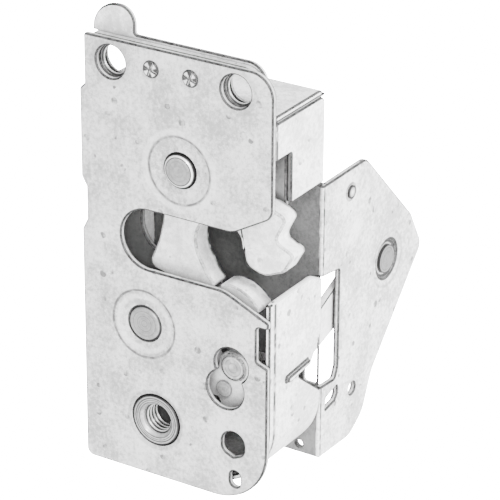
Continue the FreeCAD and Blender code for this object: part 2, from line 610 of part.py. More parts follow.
def make_fork():
    body = new_body("fork_bolt")
    sketch = sketch_front(body, "fork_outline", "blade_front")
    mouth_left = S["mouth_x"] - S["mouth_r"]
    mouth_right = S["mouth_x"] + S["mouth_r"]
    crown = S["mouth_z"] + S["mouth_r"]
    foot_low = S["fork_z"] - S["fork_foot_r"]
    horn = S["fork_x"] - S["horn_reach"]
    outline(sketch, [
        (mouth_left, crown, S["mouth_r"] * 0.998),
        (mouth_left, TOE_LOW + S["throat_rise"] * 2.9, 9.0),
        (S["toe_x"] - 1.9, TOE_LOW + S["throat_rise"], 5.0),
        (S["toe_x"], TOE_LOW + S["toe_tall"], 0.6),
        (S["toe_x"], TOE_LOW, 0.6),
        (S["fork_x"] + 3.4, foot_low + 0.1, 12.0),
        (S["fork_x"] - 3.0, foot_low + 0.1, 12.0),
        (-4.4, TOE_LOW + 1.3, 2.0),
        (-1.3, TOE_LOW + 8.6, 8.0),
        (0.1, 53.0, 6.0),
        (-1.6, S["fork_z"] - S["horn_half"] * 2.4, 3.0),
        (horn, S["fork_z"] - S["horn_half"], 2.0),
        (horn, S["fork_z"] + S["horn_half"], 2.0),
        (S["fork_x"] - S["fork_hub_r"] * 0.9, S["fork_z"] + S["horn_half"], 3.0),
        (S["fork_x"] - S["fork_hub_r"] * 0.55, S["fork_z"] + S["fork_hub_r"], 6.0),
        (S["fork_x"] + S["fork_hub_r"] * 0.62, S["fork_z"] + S["fork_hub_r"], 6.0),
        (24.0, 64.6, 8.0),
        (27.8, 62.6, 4.0),
        (31.5, 61.4, 1.2),
        (34.2, 60.4, 1.6),
        (31.1, 54.1, 1.4),
        (36.3, 51.6, 1.0),
        (33.6, 46.6, 3.0),
        (28.2, 44.3, 5.0),
        (23.2, 45.9, 3.4),
        (mouth_right, 50.0, 6.0),
        (mouth_right, crown, S["mouth_r"] * 0.998),
    ])
    pad(body, sketch, "blade_thick")
    bore = sketch_front(body, "fork_bore", "blade_front")
    circle(bore, "fork_x", "fork_z", "journal_r + run_fit + bush_wall", S["fork_x"], S["fork_z"],
           S["journal_r"] + S["run_fit"] + S["bush_wall"])
    pocket(body, bore, "blade_thick")
    return body


def make_detent():
    """Stop lever; its tail has a round boss behind the upper sight hole."""
    body = new_body("detent_lever")
    sketch = sketch_front(body, "detent_outline", "blade_front")
    step_x = S["toe_x"] + S["latch_gap"]
    step_top = TOE_LOW + S["latch_bite"]
    shelf = S["fork_z"] - S["fork_foot_r"] - S["foot_gap"]
    hub = S["detent_hub_r"]
    lobe_top = S["boss_z"] + S["boss_r"] + S["boss_rim"]
    outline(sketch, [
        (S["detent_x"] - hub, S["detent_z"] + hub, hub * 0.8),
        (S["detent_x"] - hub, S["detent_z"] - hub, hub * 0.8),
        (S["detent_x"] + hub * 0.7, S["detent_z"] - hub * 1.05, 3.0),
        (S["detent_spring_x"] - 4.0, S["tail_seat"], 3.0),
        (TAIL_DROP_X, S["tail_seat"], 0.6),
        (TAIL_DROP_X + 1.0, S["tail_low"], 0.8),
        (S["tail_end"], S["tail_low"], 2.6),
        (S["tail_end"] + 0.2, lobe_top, S["boss_r"]),
        (S["boss_x"] - S["boss_r"] - S["boss_rim"], lobe_top, S["boss_r"]),
        (S["boss_x"] - S["boss_r"] - S["boss_rim"] * 2, S["boss_z"] - 2.0, 1.0),
        (9.0, 21.5, 4.0),
        (12.5, 28.0, 6.0),
        (24.0, 32.0, 3.0),
        (27.4, 35.2, 1.0),
        (24.1, 38.1, 2.0),
        (21.8, 39.3, 3.0),
        (18.6, step_top + 0.7, 3.0),
        (step_x, step_top, 0.5),
        (step_x, shelf, 0.6),
        (S["fork_x"] + 2.0, shelf - 0.4, 8.0),
        (S["detent_x"] + hub * 0.7, S["detent_z"] + hub, 4.0),
    ])
    pad(body, sketch, "blade_thick")
    boss = sketch_front(body, "detent_boss", "blade_front - boss_rise")
    circle(boss, "boss_x", "boss_z", "boss_r", S["boss_x"], S["boss_z"], S["boss_r"])
    pad(body, boss, "boss_rise + blade_thick / 2")
    bore = sketch_front(body, "detent_bore", "blade_front")
    circle(bore, "detent_x", "detent_z", "journal_r + run_fit + bush_wall", S["detent_x"],
           S["detent_z"], S["journal_r"] + S["run_fit"] + S["bush_wall"])
    circle(bore, "peg_x", "peg_z", "peg_r", S["peg_x"], S["peg_z"], S["peg_r"])
    pocket(body, bore, "blade_thick")
    return body


def make_bush(label, x_text, z_text):
    """Plain bush pressed in the hub, running on the pivot's journal."""
    body = new_body(label)
    sketch = sketch_side(body, label + "_section", x_text, z_text)
    inner = S["journal_r"] + S["run_fit"]
    outer = inner + S["bush_wall"]
    outline(sketch, [(S["blade_front"] - 0.1, inner), (BLADE_BACK + 0.1, inner),
                     (BLADE_BACK + 0.1, outer), (S["blade_front"] - 0.1, outer)])
    revolve(body, sketch)
    return body


def make_pivot(label, head_r, head_front, x_text, z_text):
    """Riveted pivot: head in the face plate, shoulder, journal, and tail upset on the bearing plate."""
    chamfer = S["head_chamfer"]
    return turned(label, [
        (head_front, head_front, head_r - chamfer),
        (head_front + chamfer, S["sheet_face"], head_r),
        (S["sheet_face"], S["blade_front"] - S["side_play"], S["shoulder_r"]),
        (S["blade_front"] - S["side_play"], BEARING_FRONT, S["journal_r"]),
        (BEARING_FRONT, BEARING_BACK, S["tail_r"]),
        (BEARING_BACK, BEARING_BACK + S["tail_head_tall"], S["tail_head_r"]),
    ], u_text=x_text, v_text=z_text)


def make_threaded_bush():
    """Threaded bush pressed in the lower mounting hole, its bore at the thread's inner radius."""
    body = new_body("threaded_bush")
    sketch = sketch_side(body, "bush_section")
    end = S["bush_length"]
    outline(sketch, [
        (0.0, S["thread_r"]), (0.0, S["bush_r"]), (S["sheet_face"], S["bush_r"]),
        (S["sheet_face"], S["bush_r"] + 1.0), (S["sheet_face"] + 1.0, S["bush_r"] + 1.0),
        (S["sheet_face"] + 1.0, S["bush_r"] - 1.2),
        (end, S["bush_r"] - 1.2), (end, S["thread_r"]),
    ])
    revolve(body, sketch)
    return body


def make_plate_rivets():
    """Two cross-staked rivets through the face plate, the nut plate and the case flange."""
    shank_end = LAYER_FRONT + S["sheet_case"]
    parts = []
    for x in RIVETS:
        shank = Part.makeCylinder(S["rivet_shank_r"], shank_end, V(x, 0, RIVET_Z), V(0, 1, 0))
        head = Part.makeCone(S["rivet_head_r"] - 0.3, S["rivet_head_r"], S["rivet_head_tall"],
                             V(x, -S["rivet_head_tall"], RIVET_Z), V(0, 1, 0))
        tail = Part.makeCylinder(S["rivet_head_r"], S["rivet_head_tall"], V(x, shank_end, RIVET_Z),
                                 V(0, 1, 0))
        solid = shank.fuse([head, tail])
        for turn in (0, 90):
            groove = Part.makeBox(0.5, 0.3, 2 * S["rivet_head_r"])
            groove.translate(V(-0.25, -S["rivet_head_tall"], -S["rivet_head_r"]))
            groove.rotate(V(0, 0, 0), V(0, 1, 0), turn + 20)
            groove.translate(V(x, 0, RIVET_Z))
            solid = solid.cut(groove)
        parts.append(solid.removeSplitter())
    feature = DOC.addObject("Part::Feature", "plate_rivets")
    feature.Label = "plate_rivets"
    feature.Shape = Part.makeCompound(parts)
    feature.Placement = FreeCAD.Placement()
    return feature


def make_peg():
    """Peg riveted in the detent's tail, which the release lever presses."""
    return turned("detent_peg", [
        (S["blade_front"] - 0.4, S["blade_front"], S["peg_r"] + 0.5),
        (S["blade_front"], S["peg_end"], S["peg_r"]),
    ], u_text="peg_x", v_text="peg_z")


def make_release_rivet():
    seat = S["case_right"] - S["wing_head_sunk"] * 2
    return turned("release_pivot", [
        (LEVER_LEFT - 0.3 - 1.2, LEVER_LEFT - 0.3, S["wing_journal_r"] + 1.6),
        (LEVER_LEFT - 0.3, WING_INNER, S["wing_journal_r"]),
        (WING_INNER, seat, S["wing_shank_r"]),
        (seat, seat + S["wing_head_tall"], S["wing_head_r"]),
    ], across=True, u_text=RELEASE_Y_TEXT, v_text="release_z")


def make_lock_rivet():
    return turned("lock_pivot", [
        (LOCK_LEFT - 0.3 - 0.8, LOCK_LEFT - 0.3, S["lock_journal_r"] + 0.5),
        (LOCK_LEFT - 0.3, WING_INNER, S["lock_journal_r"]),
        (WING_INNER, S["case_right"], S["lock_shank_r"]),
        (S["case_right"], S["case_right"] + 0.5, S["lock_head_r"]),
    ], across=True, u_text=LOCK_Y_TEXT, v_text="lock_z")


def make_washer():
    body = new_body("release_washer")
    sketch = sketch_front(body, "washer_section", RELEASE_Y_TEXT, "release_z")
    outline(sketch, [
        (LEVER_RIGHT, S["wing_journal_r"]), (WING_INNER, S["wing_journal_r"]),
        (WING_INNER, S["wing_journal_r"] + 2.6), (LEVER_RIGHT, S["wing_journal_r"] + 2.6),
    ])
    revolve(body, sketch)
    return body


def make_release_lever():
    """Lever on the wing whose turned-in finger presses the detent's peg."""
    body = new_body("release_lever")
    sketch = sketch_side(body, "release_outline", "case_right - sheet_bracket - washer_thick - lever_thick")
    hub = S["release_hub_r"]
    arm = S["arm_half"]
    finger_low = S["peg_z"] + S["peg_r"] + S["touch_gap"]
    front = S["finger_y"] - 2.0
    back = S["finger_y"] + 2.0
    outline(sketch, [
        (RELEASE_Y + hub, S["release_z"] - hub, hub * 0.9),
        (RELEASE_Y + hub, S["release_z"] + hub * 0.9, hub * 0.8),
        (ROD_Y + arm * 1.3, S["rod_z"] + arm, arm),
        (ROD_Y - arm, S["rod_z"] + arm, arm),
        (ROD_Y - arm * 0.6, S["release_z"] + hub * 0.8, 4.0),
        (COVER_BACK, 20.0 + arm + 1.6, 6.0),
        (front, finger_low + 5.5, 1.5),
        (front, finger_low, 0.6),
        (back + 1.0, finger_low, 2.0),
        (COVER_BACK, 20.0 - arm, 6.0),
        (RELEASE_Y - hub, S["release_z"] - hub * 0.8, 8.0),
    ])
    pad(body, sketch, "lever_thick", into=False)
    finger = sketch_side(body, "release_finger", "finger_tip_x")
    outline(finger, [
        (front, finger_low), (back, finger_low), (back, finger_low + S["finger_thick"]),
        (front, finger_low + S["finger_thick"]),
    ])
    pad(body, finger, "case_right - sheet_bracket - washer_thick - finger_tip_x", into=False)
    holes = sketch_side(body, "release_holes", "case_right - sheet_bracket - washer_thick")
    circle(holes, RELEASE_Y_TEXT, "release_z", "wing_journal_r + run_fit", RELEASE_Y,
           S["release_z"], S["wing_journal_r"] + S["run_fit"])
    circle(holes, ROD_Y_TEXT, "rod_z", "rod_hole_r", ROD_Y, S["rod_z"], S["rod_hole_r"])
    pocket(body, holes, "lever_thick")
    return body


def make_lock_lever():
    """Thin lever close under the wing, with a toe towards the release lever."""
    body = new_body("lock_lever")
    sketch = sketch_side(body, "lock_outline", "case_right - sheet_bracket - washer_thick - lock_lever_thick")
    hub = S["lock_hub_r"]
    toe = 3.0
    toe_y = LOCK_Y - S["lock_toe_back"]
    front = LOCK_ROD_Y - 3.4
    outline(sketch, [
        (LOCK_Y + hub, S["lock_z"] + hub * 0.95, hub * 0.8),
        (front, S["lock_rod_z"] + 4.4, 3.2),
        (front, S["lock_rod_z"] - 3.6, 3.0),
        (LOCK_Y - hub * 0.8, S["lock_z"] - hub * 2.4, 2.0),
        (toe_y - toe, S["lock_toe_z"] - toe * 0.9, toe * 0.8),
        (toe_y + toe, S["lock_toe_z"] - toe, toe * 0.8),
        (LOCK_Y + hub, S["lock_z"] - hub * 0.8, 4.0),
    ])
    pad(body, sketch, "lock_lever_thick", into=False)
    holes = sketch_side(body, "lock_holes", "case_right - sheet_bracket - washer_thick")
    circle(holes, LOCK_Y_TEXT, "lock_z", "lock_journal_r + run_fit", LOCK_Y, S["lock_z"],
           S["lock_journal_r"] + S["run_fit"])
    circle(holes, LOCK_ROD_Y_TEXT, "lock_rod_z", "lock_hole_r", LOCK_ROD_Y, S["lock_rod_z"],
           S["lock_hole_r"])
    pocket(body, holes, "lock_lever_thick")
    return body


def make_clip(label, y_text, z_text, hole_r, lever_left):
    """Moulded rod clip snapped in a lever's hole."""
    return turned(label, [
        (lever_left - S["clip_tall"], lever_left, S["clip_r"]),
        (lever_left, LEVER_RIGHT, hole_r),
        (LEVER_RIGHT, LEVER_RIGHT + S["washer_thick"] * 0.6, hole_r + 0.1),
    ], across=True, u_text=y_text, v_text=z_text)


def make_spring(label, x, low, high, radius, wire):
    """Compression spring standing along Z between two seats."""
    middle = S["blade_front"] + S["blade_thick"] / 2
    rise = high - low - 2 * wire
    helix = Part.makeHelix(rise / S["coils"], rise, radius)
    start = V(radius, 0, 0)
    section = Part.Wire([Part.makeCircle(wire, start, V(0, 1, 0))])
    coil = Part.Wire(helix.Edges).makePipeShell([section], True, True)
    feature = DOC.addObject("Part::Feature", label)
    feature.Label = label
    feature.Shape = coil
    feature.Placement = FreeCAD.Placement(V(x, middle, low + wire), FreeCAD.Rotation())
    return feature


def main():
    horn_top = S["fork_z"] + S["horn_half"]
    pieces = [
        make_face_plate(),
        make_nut_plate(),
        make_case(),
        make_side_bracket(),
        make_bearing_plate(),
        make_threaded_bush(),
        make_plate_rivets(),
        make_pivot("fork_pivot", S["fork_head_r"], -S["fork_head_proud"], "fork_x", "fork_z"),
        make_pivot("detent_pivot", S["detent_head_r"], S["detent_head_sunk"], "detent_x", "detent_z"),
        make_fork(),
        make_bush("fork_bush", "fork_x", "fork_z"),
        make_detent(),
        make_bush("detent_bush", "detent_x", "detent_z"),
        make_peg(),
        make_release_rivet(),
        make_washer(),
        make_release_lever(),
        make_clip("release_rod_clip", ROD_Y_TEXT, "rod_z", S["rod_hole_r"], LEVER_LEFT),
        make_lock_rivet(),
        make_lock_lever(),
        make_clip("lock_rod_clip", LOCK_ROD_Y_TEXT, "lock_rod_z", S["lock_hole_r"], LOCK_LEFT),
        make_spring("fork_spring", S["fork_spring_x"], horn_top + 0.1, CASE_INNER_TOP - 0.1,
                    S["fork_spring_r"], S["fork_spring_wire"]),
        make_spring("detent_spring", S["detent_spring_x"], CASE_INNER_BOTTOM + 0.1, S["tail_seat"] - 0.1,
                    S["detent_spring_r"], S["detent_spring_wire"]),
    ]
    DOC.recompute()
    faults = []
    for thing in DOC.Objects:
        if "Invalid" in thing.State or "Error" in thing.State:
            faults.append(thing.Label)
    for piece in pieces:
        if piece.Shape.isNull() or not piece.Shape.isValid():
            faults.append(piece.Label + " shape")
    if faults:
        raise ValueError("failed: " + ", ".join(faults))
    os.makedirs("parts", exist_ok=True)
    for piece in pieces:
        piece.Shape.exportStep(os.path.join("parts", piece.Label + ".step"))
        solids = len(piece.Shape.Solids)
        print("%-18s solids %d volume %.1f" % (piece.Label, solids, piece.Shape.Volume))


main()
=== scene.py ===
# %% [markdown]
# A rotary car door lock, dressed for its picture.
# The solids come from a CAD model and are loaded as a fixed frame. This script adds what a picture
# needs and a solid model leaves out: broken edges on the pressed sheets, real screw threads, and
# finishes for zinc plating, turned pins, bronze, spring wire and moulded clips.

# %% Load the frame
import math
import bpy
from mathutils import Matrix, Vector
from mathutils.bvhtree import BVHTree


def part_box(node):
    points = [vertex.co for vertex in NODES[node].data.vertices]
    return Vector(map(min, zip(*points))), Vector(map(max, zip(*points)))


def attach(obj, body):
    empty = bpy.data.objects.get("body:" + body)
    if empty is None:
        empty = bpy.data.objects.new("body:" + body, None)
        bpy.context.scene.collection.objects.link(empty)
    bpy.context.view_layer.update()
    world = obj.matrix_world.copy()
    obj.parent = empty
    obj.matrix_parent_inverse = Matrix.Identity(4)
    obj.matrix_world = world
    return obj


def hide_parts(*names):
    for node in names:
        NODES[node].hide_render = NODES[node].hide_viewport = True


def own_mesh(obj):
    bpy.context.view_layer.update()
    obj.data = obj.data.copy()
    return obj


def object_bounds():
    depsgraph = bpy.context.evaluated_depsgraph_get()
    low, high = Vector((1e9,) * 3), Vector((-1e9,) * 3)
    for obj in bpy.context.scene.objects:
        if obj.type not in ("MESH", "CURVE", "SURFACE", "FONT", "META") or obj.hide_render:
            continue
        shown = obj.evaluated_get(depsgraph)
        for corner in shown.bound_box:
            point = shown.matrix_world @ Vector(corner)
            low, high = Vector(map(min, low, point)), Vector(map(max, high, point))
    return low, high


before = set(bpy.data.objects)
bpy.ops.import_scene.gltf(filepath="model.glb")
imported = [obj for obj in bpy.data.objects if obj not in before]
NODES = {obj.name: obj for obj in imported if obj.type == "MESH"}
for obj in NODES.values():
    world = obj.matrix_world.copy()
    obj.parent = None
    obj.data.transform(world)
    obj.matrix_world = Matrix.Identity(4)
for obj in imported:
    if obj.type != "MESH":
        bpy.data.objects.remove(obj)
cad_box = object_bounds()
MM = 0.001
print("loaded", len(NODES), "nodes, box", [round(float(v) * 1000, 1) for v in cad_box[1]])

# %% [markdown]
# The camera stands where the photographer stood, to the right of the lock and above it. A long lens
# from 65 cm keeps the plate's sides almost parallel. Right, up and back are worked out from the
# viewing angles, and the lens looks at a point a little off the lock's middle.

# %% Camera
CAMERA_AZIMUTH = math.radians(31.924)
CAMERA_ELEVATION = math.radians(25.011)
CAMERA_ROLL = math.radians(0.363)
CAMERA_DISTANCE = 648.1 * MM
LENS = 200.2
AIM_FROM = Vector((23.31, 0.0, 40.6)) * MM
AIM_ACROSS = 3.015 * MM
AIM_UP = 9.986 * MM

level_right = Vector((math.cos(CAMERA_AZIMUTH), math.sin(CAMERA_AZIMUTH), 0))
back = Vector((math.sin(CAMERA_AZIMUTH) * math.cos(CAMERA_ELEVATION),
               -math.cos(CAMERA_AZIMUTH) * math.cos(CAMERA_ELEVATION), math.sin(CAMERA_ELEVATION)))
level_up = back.cross(level_right)
right = math.cos(CAMERA_ROLL) * level_right + math.sin(CAMERA_ROLL) * level_up
up = math.cos(CAMERA_ROLL) * level_up - math.sin(CAMERA_ROLL) * level_right
eye = AIM_FROM + AIM_ACROSS * right + AIM_UP * up + CAMERA_DISTANCE * back

camera_data = bpy.data.cameras.new("camera")
camera_data.lens = LENS
camera_data.sensor_width = 36
camera_data.clip_start = 0.01
camera = bpy.data.objects.new("camera", camera_data)
bpy.context.collection.objects.link(camera)
turn = Matrix((right, up, back)).transposed().to_4x4()
camera.matrix_world = Matrix.Translation(eye) @ turn
bpy.context.scene.camera = camera
print("camera", round(CAMERA_DISTANCE * 1000), "mm away, lens", LENS)

# %% [markdown]
# The lock hangs in a door, so it has nothing to stand on. The pale floor lies well below it, and
# only lightens the shadows. The key light is small and stands above and to the right, so that
# shallow dishes and edges show. A light behind the camera reaches into every hole that it sees.

# %% Floor and light
FLOOR_DROP = 60 * MM
FLOOR_SIZE = 6
LIGHT_AIM = Vector((6, 10, 45)) * MM
SKY_STRENGTH = 0.6


def deselect():
    """Nothing stays selected, so that an operator acts on the new piece alone."""
    if bpy.context.mode != "OBJECT":
        bpy.ops.object.mode_set(mode="OBJECT")
    bpy.ops.object.select_all(action="DESELECT")


def area_light(name, place, size, power):
    """A round soft light at a place in metres, turned to the middle of the lock."""
    light = bpy.data.lights.new(name, "AREA")
    light.shape = "DISK"
    light.size = size
    light.energy = power
    lamp = bpy.data.objects.new(name, light)
    bpy.context.collection.objects.link(lamp)
    lamp.location = place
    lamp.rotation_euler = (LIGHT_AIM - Vector(place)).to_track_quat("-Z", "Y").to_euler()


deselect()
bpy.ops.mesh.primitive_plane_add(size=FLOOR_SIZE, location=(0, 0, cad_box[0][2] - FLOOR_DROP))
floor = bpy.context.object
floor.name = "floor"
area_light("key", (0.5, -0.3, 0.85), 0.22, 30)
area_light("side", (0.95, 0.0, 0.2), 0.5, 20)
area_light("fill", eye + 0.1 * back, 0.25, 7)
world = bpy.data.worlds.new("studio")
bpy.context.scene.world = world
world.use_nodes = True
sky = world.node_tree.nodes["Background"]
sky.inputs["Color"].default_value = (1, 1, 1, 1)
sky.inputs["Strength"].default_value = SKY_STRENGTH
print("floor at", round((cad_box[0][2] - FLOOR_DROP) * 1000, 1), "mm, three soft lights")

# %% [markdown]
# Effects that several finishes share are node groups. A few helpers build them: a node with its
# settings, a number worked out from others, a smooth step, a noise, and a distance from an axis.

# %% Node group helpers


def new_group(name, inputs, outputs):
    """An empty node group with float inputs (name, value) and outputs (name, socket type)."""
    group = bpy.data.node_groups.new(name, "ShaderNodeTree")
    for label, value in inputs:
        socket = group.interface.new_socket(label, in_out="INPUT", socket_type="NodeSocketFloat")
        socket.default_value = value
    for label, kind in outputs:
        group.interface.new_socket(label, in_out="OUTPUT", socket_type=kind)
    return group, group.nodes.new("NodeGroupInput"), group.nodes.new("NodeGroupOutput")


def add_node(tree, kind, **settings):
    """A new node, with settings given by name."""
    node = tree.nodes.new(kind)
    for key, value in settings.items():
        setattr(node, key, value)
    return node


def feed(tree, value, socket):
    """Puts a number, a colour or another node's output into an input."""
    if isinstance(value, bpy.types.NodeSocket):
        tree.links.new(value, socket)
    else:
        socket.default_value = value


def math_node(tree, operation, first, second=None):
    """A Math node; each input is a socket or a number."""
    node = add_node(tree, "ShaderNodeMath", operation=operation)
    for socket, value in zip(node.inputs, (first, second)):
        if value is not None:
            feed(tree, value, socket)
    return node.outputs[0]


def ramp(tree, value, low, high, low_out=0.0, high_out=1.0):
    """Maps low..high of a value to low_out..high_out, smoothly."""
    node = add_node(tree, "ShaderNodeMapRange", interpolation_type="SMOOTHSTEP")
    ends = (("From Min", low), ("From Max", high), ("To Min", low_out), ("To Max", high_out))
    for label, number in ends:
        node.inputs[label].default_value = number
    tree.links.new(value, node.inputs["Value"])
    return node.outputs["Result"]


def scaled_noise(tree, scale, detail, roughness=0.5, stretch=None):
    """Noise on Object coordinates; stretch squeezes it along an axis."""
    place = tree.nodes.new("ShaderNodeTexCoord").outputs["Object"]
    if stretch:
        mapping = tree.nodes.new("ShaderNodeMapping")
        mapping.inputs["Scale"].default_value = stretch
        tree.links.new(place, mapping.inputs["Vector"])
        place = mapping.outputs["Vector"]
    noise = tree.nodes.new("ShaderNodeTexNoise")
    noise.inputs["Detail"].default_value = detail
    noise.inputs["Roughness"].default_value = roughness
    tree.links.new(place, noise.inputs["Vector"])
    feed(tree, scale, noise.inputs["Scale"])
    return noise.outputs["Fac"]


def distance_from_axis(tree, centre, across=False):
    """Distance from an axis through centre, along Y, or along X where across is true."""
    place = tree.nodes.new("ShaderNodeTexCoord").outputs["Object"]
    shift = add_node(tree, "ShaderNodeVectorMath", operation="SUBTRACT")
    shift.inputs[1].default_value = centre
    tree.links.new(place, shift.inputs[0])
    flat = add_node(tree, "ShaderNodeVectorMath", operation="MULTIPLY")
    flat.inputs[1].default_value = (0, 1, 1) if across else (1, 0, 1)
    tree.links.new(shift.outputs["Vector"], flat.inputs[0])
    reach = add_node(tree, "ShaderNodeVectorMath", operation="LENGTH")
    tree.links.new(flat.outputs["Vector"], reach.inputs[0])
    return reach.outputs["Value"]


def near_value(tree, value, target, width):
    """One where a value is at the target, falling softly to nothing at width from it."""
    gap = math_node(tree, "ABSOLUTE", math_node(tree, "SUBTRACT", value, target))
    return ramp(tree, gap, width, width * 0.3)

# %% [markdown]
# The first group is the cloudy bloom of zinc plating: three sizes of noise, for the soft clouds,
# the crystal mottle and a fine grain. It reads Object coordinates, so it stays with the metal.

# %% Zinc bloom group
CLOUD_SHARE = 0.4
MOTTLE_SHARE = 0.45
GRAIN_SHARE = 0.15
GRAIN_SCALE = 3200.0


def make_bloom_group():
    group, source, sink = new_group("zinc bloom", [("Cloud Scale", 90.0), ("Mottle Scale", 900.0)],
                                    [("Bloom", "NodeSocketFloat"), ("Grain", "NodeSocketFloat")])
    clouds = scaled_noise(group, source.outputs["Cloud Scale"], 3.0, 0.6)
    mottle = scaled_noise(group, source.outputs["Mottle Scale"], 4.0, 0.7)
    grain = scaled_noise(group, GRAIN_SCALE, 2.0, 0.6)
    total = math_node(group, "ADD", math_node(group, "MULTIPLY", clouds, CLOUD_SHARE),
                      math_node(group, "MULTIPLY", mottle, MOTTLE_SHARE))
    total = math_node(group, "ADD", total, math_node(group, "MULTIPLY", grain, GRAIN_SHARE))
    group.links.new(ramp(group, total, 0.4, 0.6), sink.inputs["Bloom"])
    group.links.new(ramp(group, grain, 0.3, 0.7), sink.inputs["Grain"])
    return group


BLOOM = make_bloom_group()
print("group", BLOOM.name)

# %% [markdown]
# A handled stamping has small dark pits and rub marks. Voronoi cells give scattered round specks:
# only the few cells whose random colour passes a threshold show one, so most of the plate stays
# clean. A stretched noise gives faint drawing lines along the sheet.

# %% Pits and rub marks group
CLEAN_CELLS = 0.84
DRAWN = (1.0, 1.0, 0.08)


def make_pits_group():
    group, source, sink = new_group("pits and rubs", [("Pit Scale", 480.0), ("Pit Size", 0.5)],
                                    [("Pits", "NodeSocketFloat"), ("Rubs", "NodeSocketFloat")])
    place = group.nodes.new("ShaderNodeTexCoord").outputs["Object"]
    cells = group.nodes.new("ShaderNodeTexVoronoi")
    group.links.new(place, cells.inputs["Vector"])
    group.links.new(source.outputs["Pit Scale"], cells.inputs["Scale"])
    chosen = group.nodes.new("ShaderNodeSeparateColor")
    group.links.new(cells.outputs["Color"], chosen.inputs["Color"])
    few = ramp(group, chosen.outputs["Red"], CLEAN_CELLS, CLEAN_CELLS + 0.02)
    size = math_node(group, "MULTIPLY", source.outputs["Pit Size"], chosen.outputs["Green"])
    near = math_node(group, "LESS_THAN", cells.outputs["Distance"], size)
    broken = ramp(group, scaled_noise(group, 500.0, 2.0), 0.35, 0.6)
    soft = math_node(group, "MULTIPLY", near, broken)
    group.links.new(math_node(group, "MULTIPLY", soft, few), sink.inputs["Pits"])
    rubs = scaled_noise(group, 700.0, 3.0, 0.6, stretch=DRAWN)
    group.links.new(ramp(group, rubs, 0.56, 0.74), sink.inputs["Rubs"])
    return group


PITS = make_pits_group()
print("group", PITS.name)

# %% [markdown]
# Pressed and sheared edges catch the eye first: the plating is thin and grey on the very corner.
# The Bevel node rounds the shading normal over a small radius, and where that rounded normal
# leaves the face's own normal there is an edge. Ambient occlusion finds the corners, where the
# finishes paint shade, and with a longer reach the inside of the case, where they paint more.

# %% Edge and crevice group
HOLLOW_REACH = 35 * MM
SHADE_SAMPLES = 8


def make_edge_group():
    group, source, sink = new_group(
        "edges and crevices", [("Edge Radius", 0.35 * MM), ("Crevice Reach", 3 * MM)],
        [(label, "NodeSocketFloat") for label in ("Edge", "Crevice", "Hollow Shade")])
    rounded = add_node(group, "ShaderNodeBevel", samples=SHADE_SAMPLES)
    group.links.new(source.outputs["Edge Radius"], rounded.inputs["Radius"])
    plain = group.nodes.new("ShaderNodeNewGeometry")
    dot = add_node(group, "ShaderNodeVectorMath", operation="DOT_PRODUCT")
    group.links.new(rounded.outputs["Normal"], dot.inputs[0])
    group.links.new(plain.outputs["True Normal"], dot.inputs[1])
    edge = ramp(group, dot.outputs["Value"], 0.985, 0.84)
    # Painted shade: these ambient occlusion masks darken the corners and the inside of the case.
    shade = add_node(group, "ShaderNodeAmbientOcclusion", samples=SHADE_SAMPLES)
    group.links.new(source.outputs["Crevice Reach"], shade.inputs["Distance"])
    crevice = ramp(group, shade.outputs["AO"], 0.75, 0.2)
    group.links.new(edge, sink.inputs["Edge"])
    group.links.new(crevice, sink.inputs["Crevice"])
    deep = add_node(group, "ShaderNodeAmbientOcclusion", samples=SHADE_SAMPLES)
    deep.inputs["Distance"].default_value = HOLLOW_REACH
    group.links.new(ramp(group, deep.outputs["AO"], 0.55, 0.2), sink.inputs["Hollow Shade"])
    return group


EDGES = make_edge_group()
print("group", EDGES.name)

# %% [markdown]
# All the plated finishes share one recipe and differ in their numbers: a light and a darker zinc
# grey mixed by the bloom, grey specks, a grey line on the edges, shade in the crevices, and a fine
# bump. The Principled shader stays in each material, because the export reads it there.

# %% Plated metal recipe
PLATE_EDGE = 0.8 * MM
PLATE_BUMP = 0.12
BUMP_DEPTH = 0.1 * MM
FACING = 0.6
SPECK_GREY = 0.12
RUB_SHARE, RUB_GREY = 0.18, 0.95
EDGE_GREY = 0.06
CREVICE_SHADE_GREY = 0.1
HOLLOW_SHADE_SHARE, HOLLOW_SHADE_GREY = 0.7, 0.12
SEAM_GREY = 0.02
PAINTED_SHADE_DARK, PAINTED_SHADE_LIGHT = 0.09, 0.15


def use_group(tree, group, **values):
    """A node group placed in a material, with its own values for the named inputs."""
    node = tree.nodes.new("ShaderNodeGroup")
    node.node_tree = group
    for key, value in values.items():
        node.inputs[key.replace("_", " ")].default_value = value
    return node


def mix_colour(tree, amount, first, second):
    """A colour Mix node; amount is a socket or number, each colour a socket or a tuple."""
    node = add_node(tree, "ShaderNodeMix", data_type="RGBA")
    for slot, value in ((0, amount), (6, first), (7, second)):
        feed(tree, value, node.inputs[slot])
    return node.outputs[2]


def grey(level, warm=0.0):
    """A grey of a brightness from 0 to 1, a little warmer where warm is more than 0."""
    return (level * (1 + warm), level, level * (1 - warm), 1.0)


def new_material(name):
    """A new material with its node tree and its Principled shader."""
    material = bpy.data.materials.new(name)
    material.use_nodes = True
    tree = material.node_tree
    return material, tree, tree.nodes["Principled BSDF"]


def tint(tree, colour, mask, amount, level):
    """The colour with a share of a grey mixed in where the mask is bright."""
    return mix_colour(tree, math_node(tree, "MULTIPLY", mask, amount), colour, grey(level))


def finish_bump(tree, shader, height, strength, distance):
    """A bump from a height, into the shader's normal."""
    bump = tree.nodes.new("ShaderNodeBump")
    bump.inputs["Strength"].default_value = strength
    bump.inputs["Distance"].default_value = distance
    tree.links.new(height, bump.inputs["Height"])
    tree.links.new(bump.outputs["Normal"], shader.inputs["Normal"])


def place_parts(tree):
    """The x, y and z of the Object coordinates."""
    parts = tree.nodes.new("ShaderNodeSeparateXYZ")
    tree.links.new(tree.nodes.new("ShaderNodeTexCoord").outputs["Object"], parts.inputs[0])
    return parts.outputs


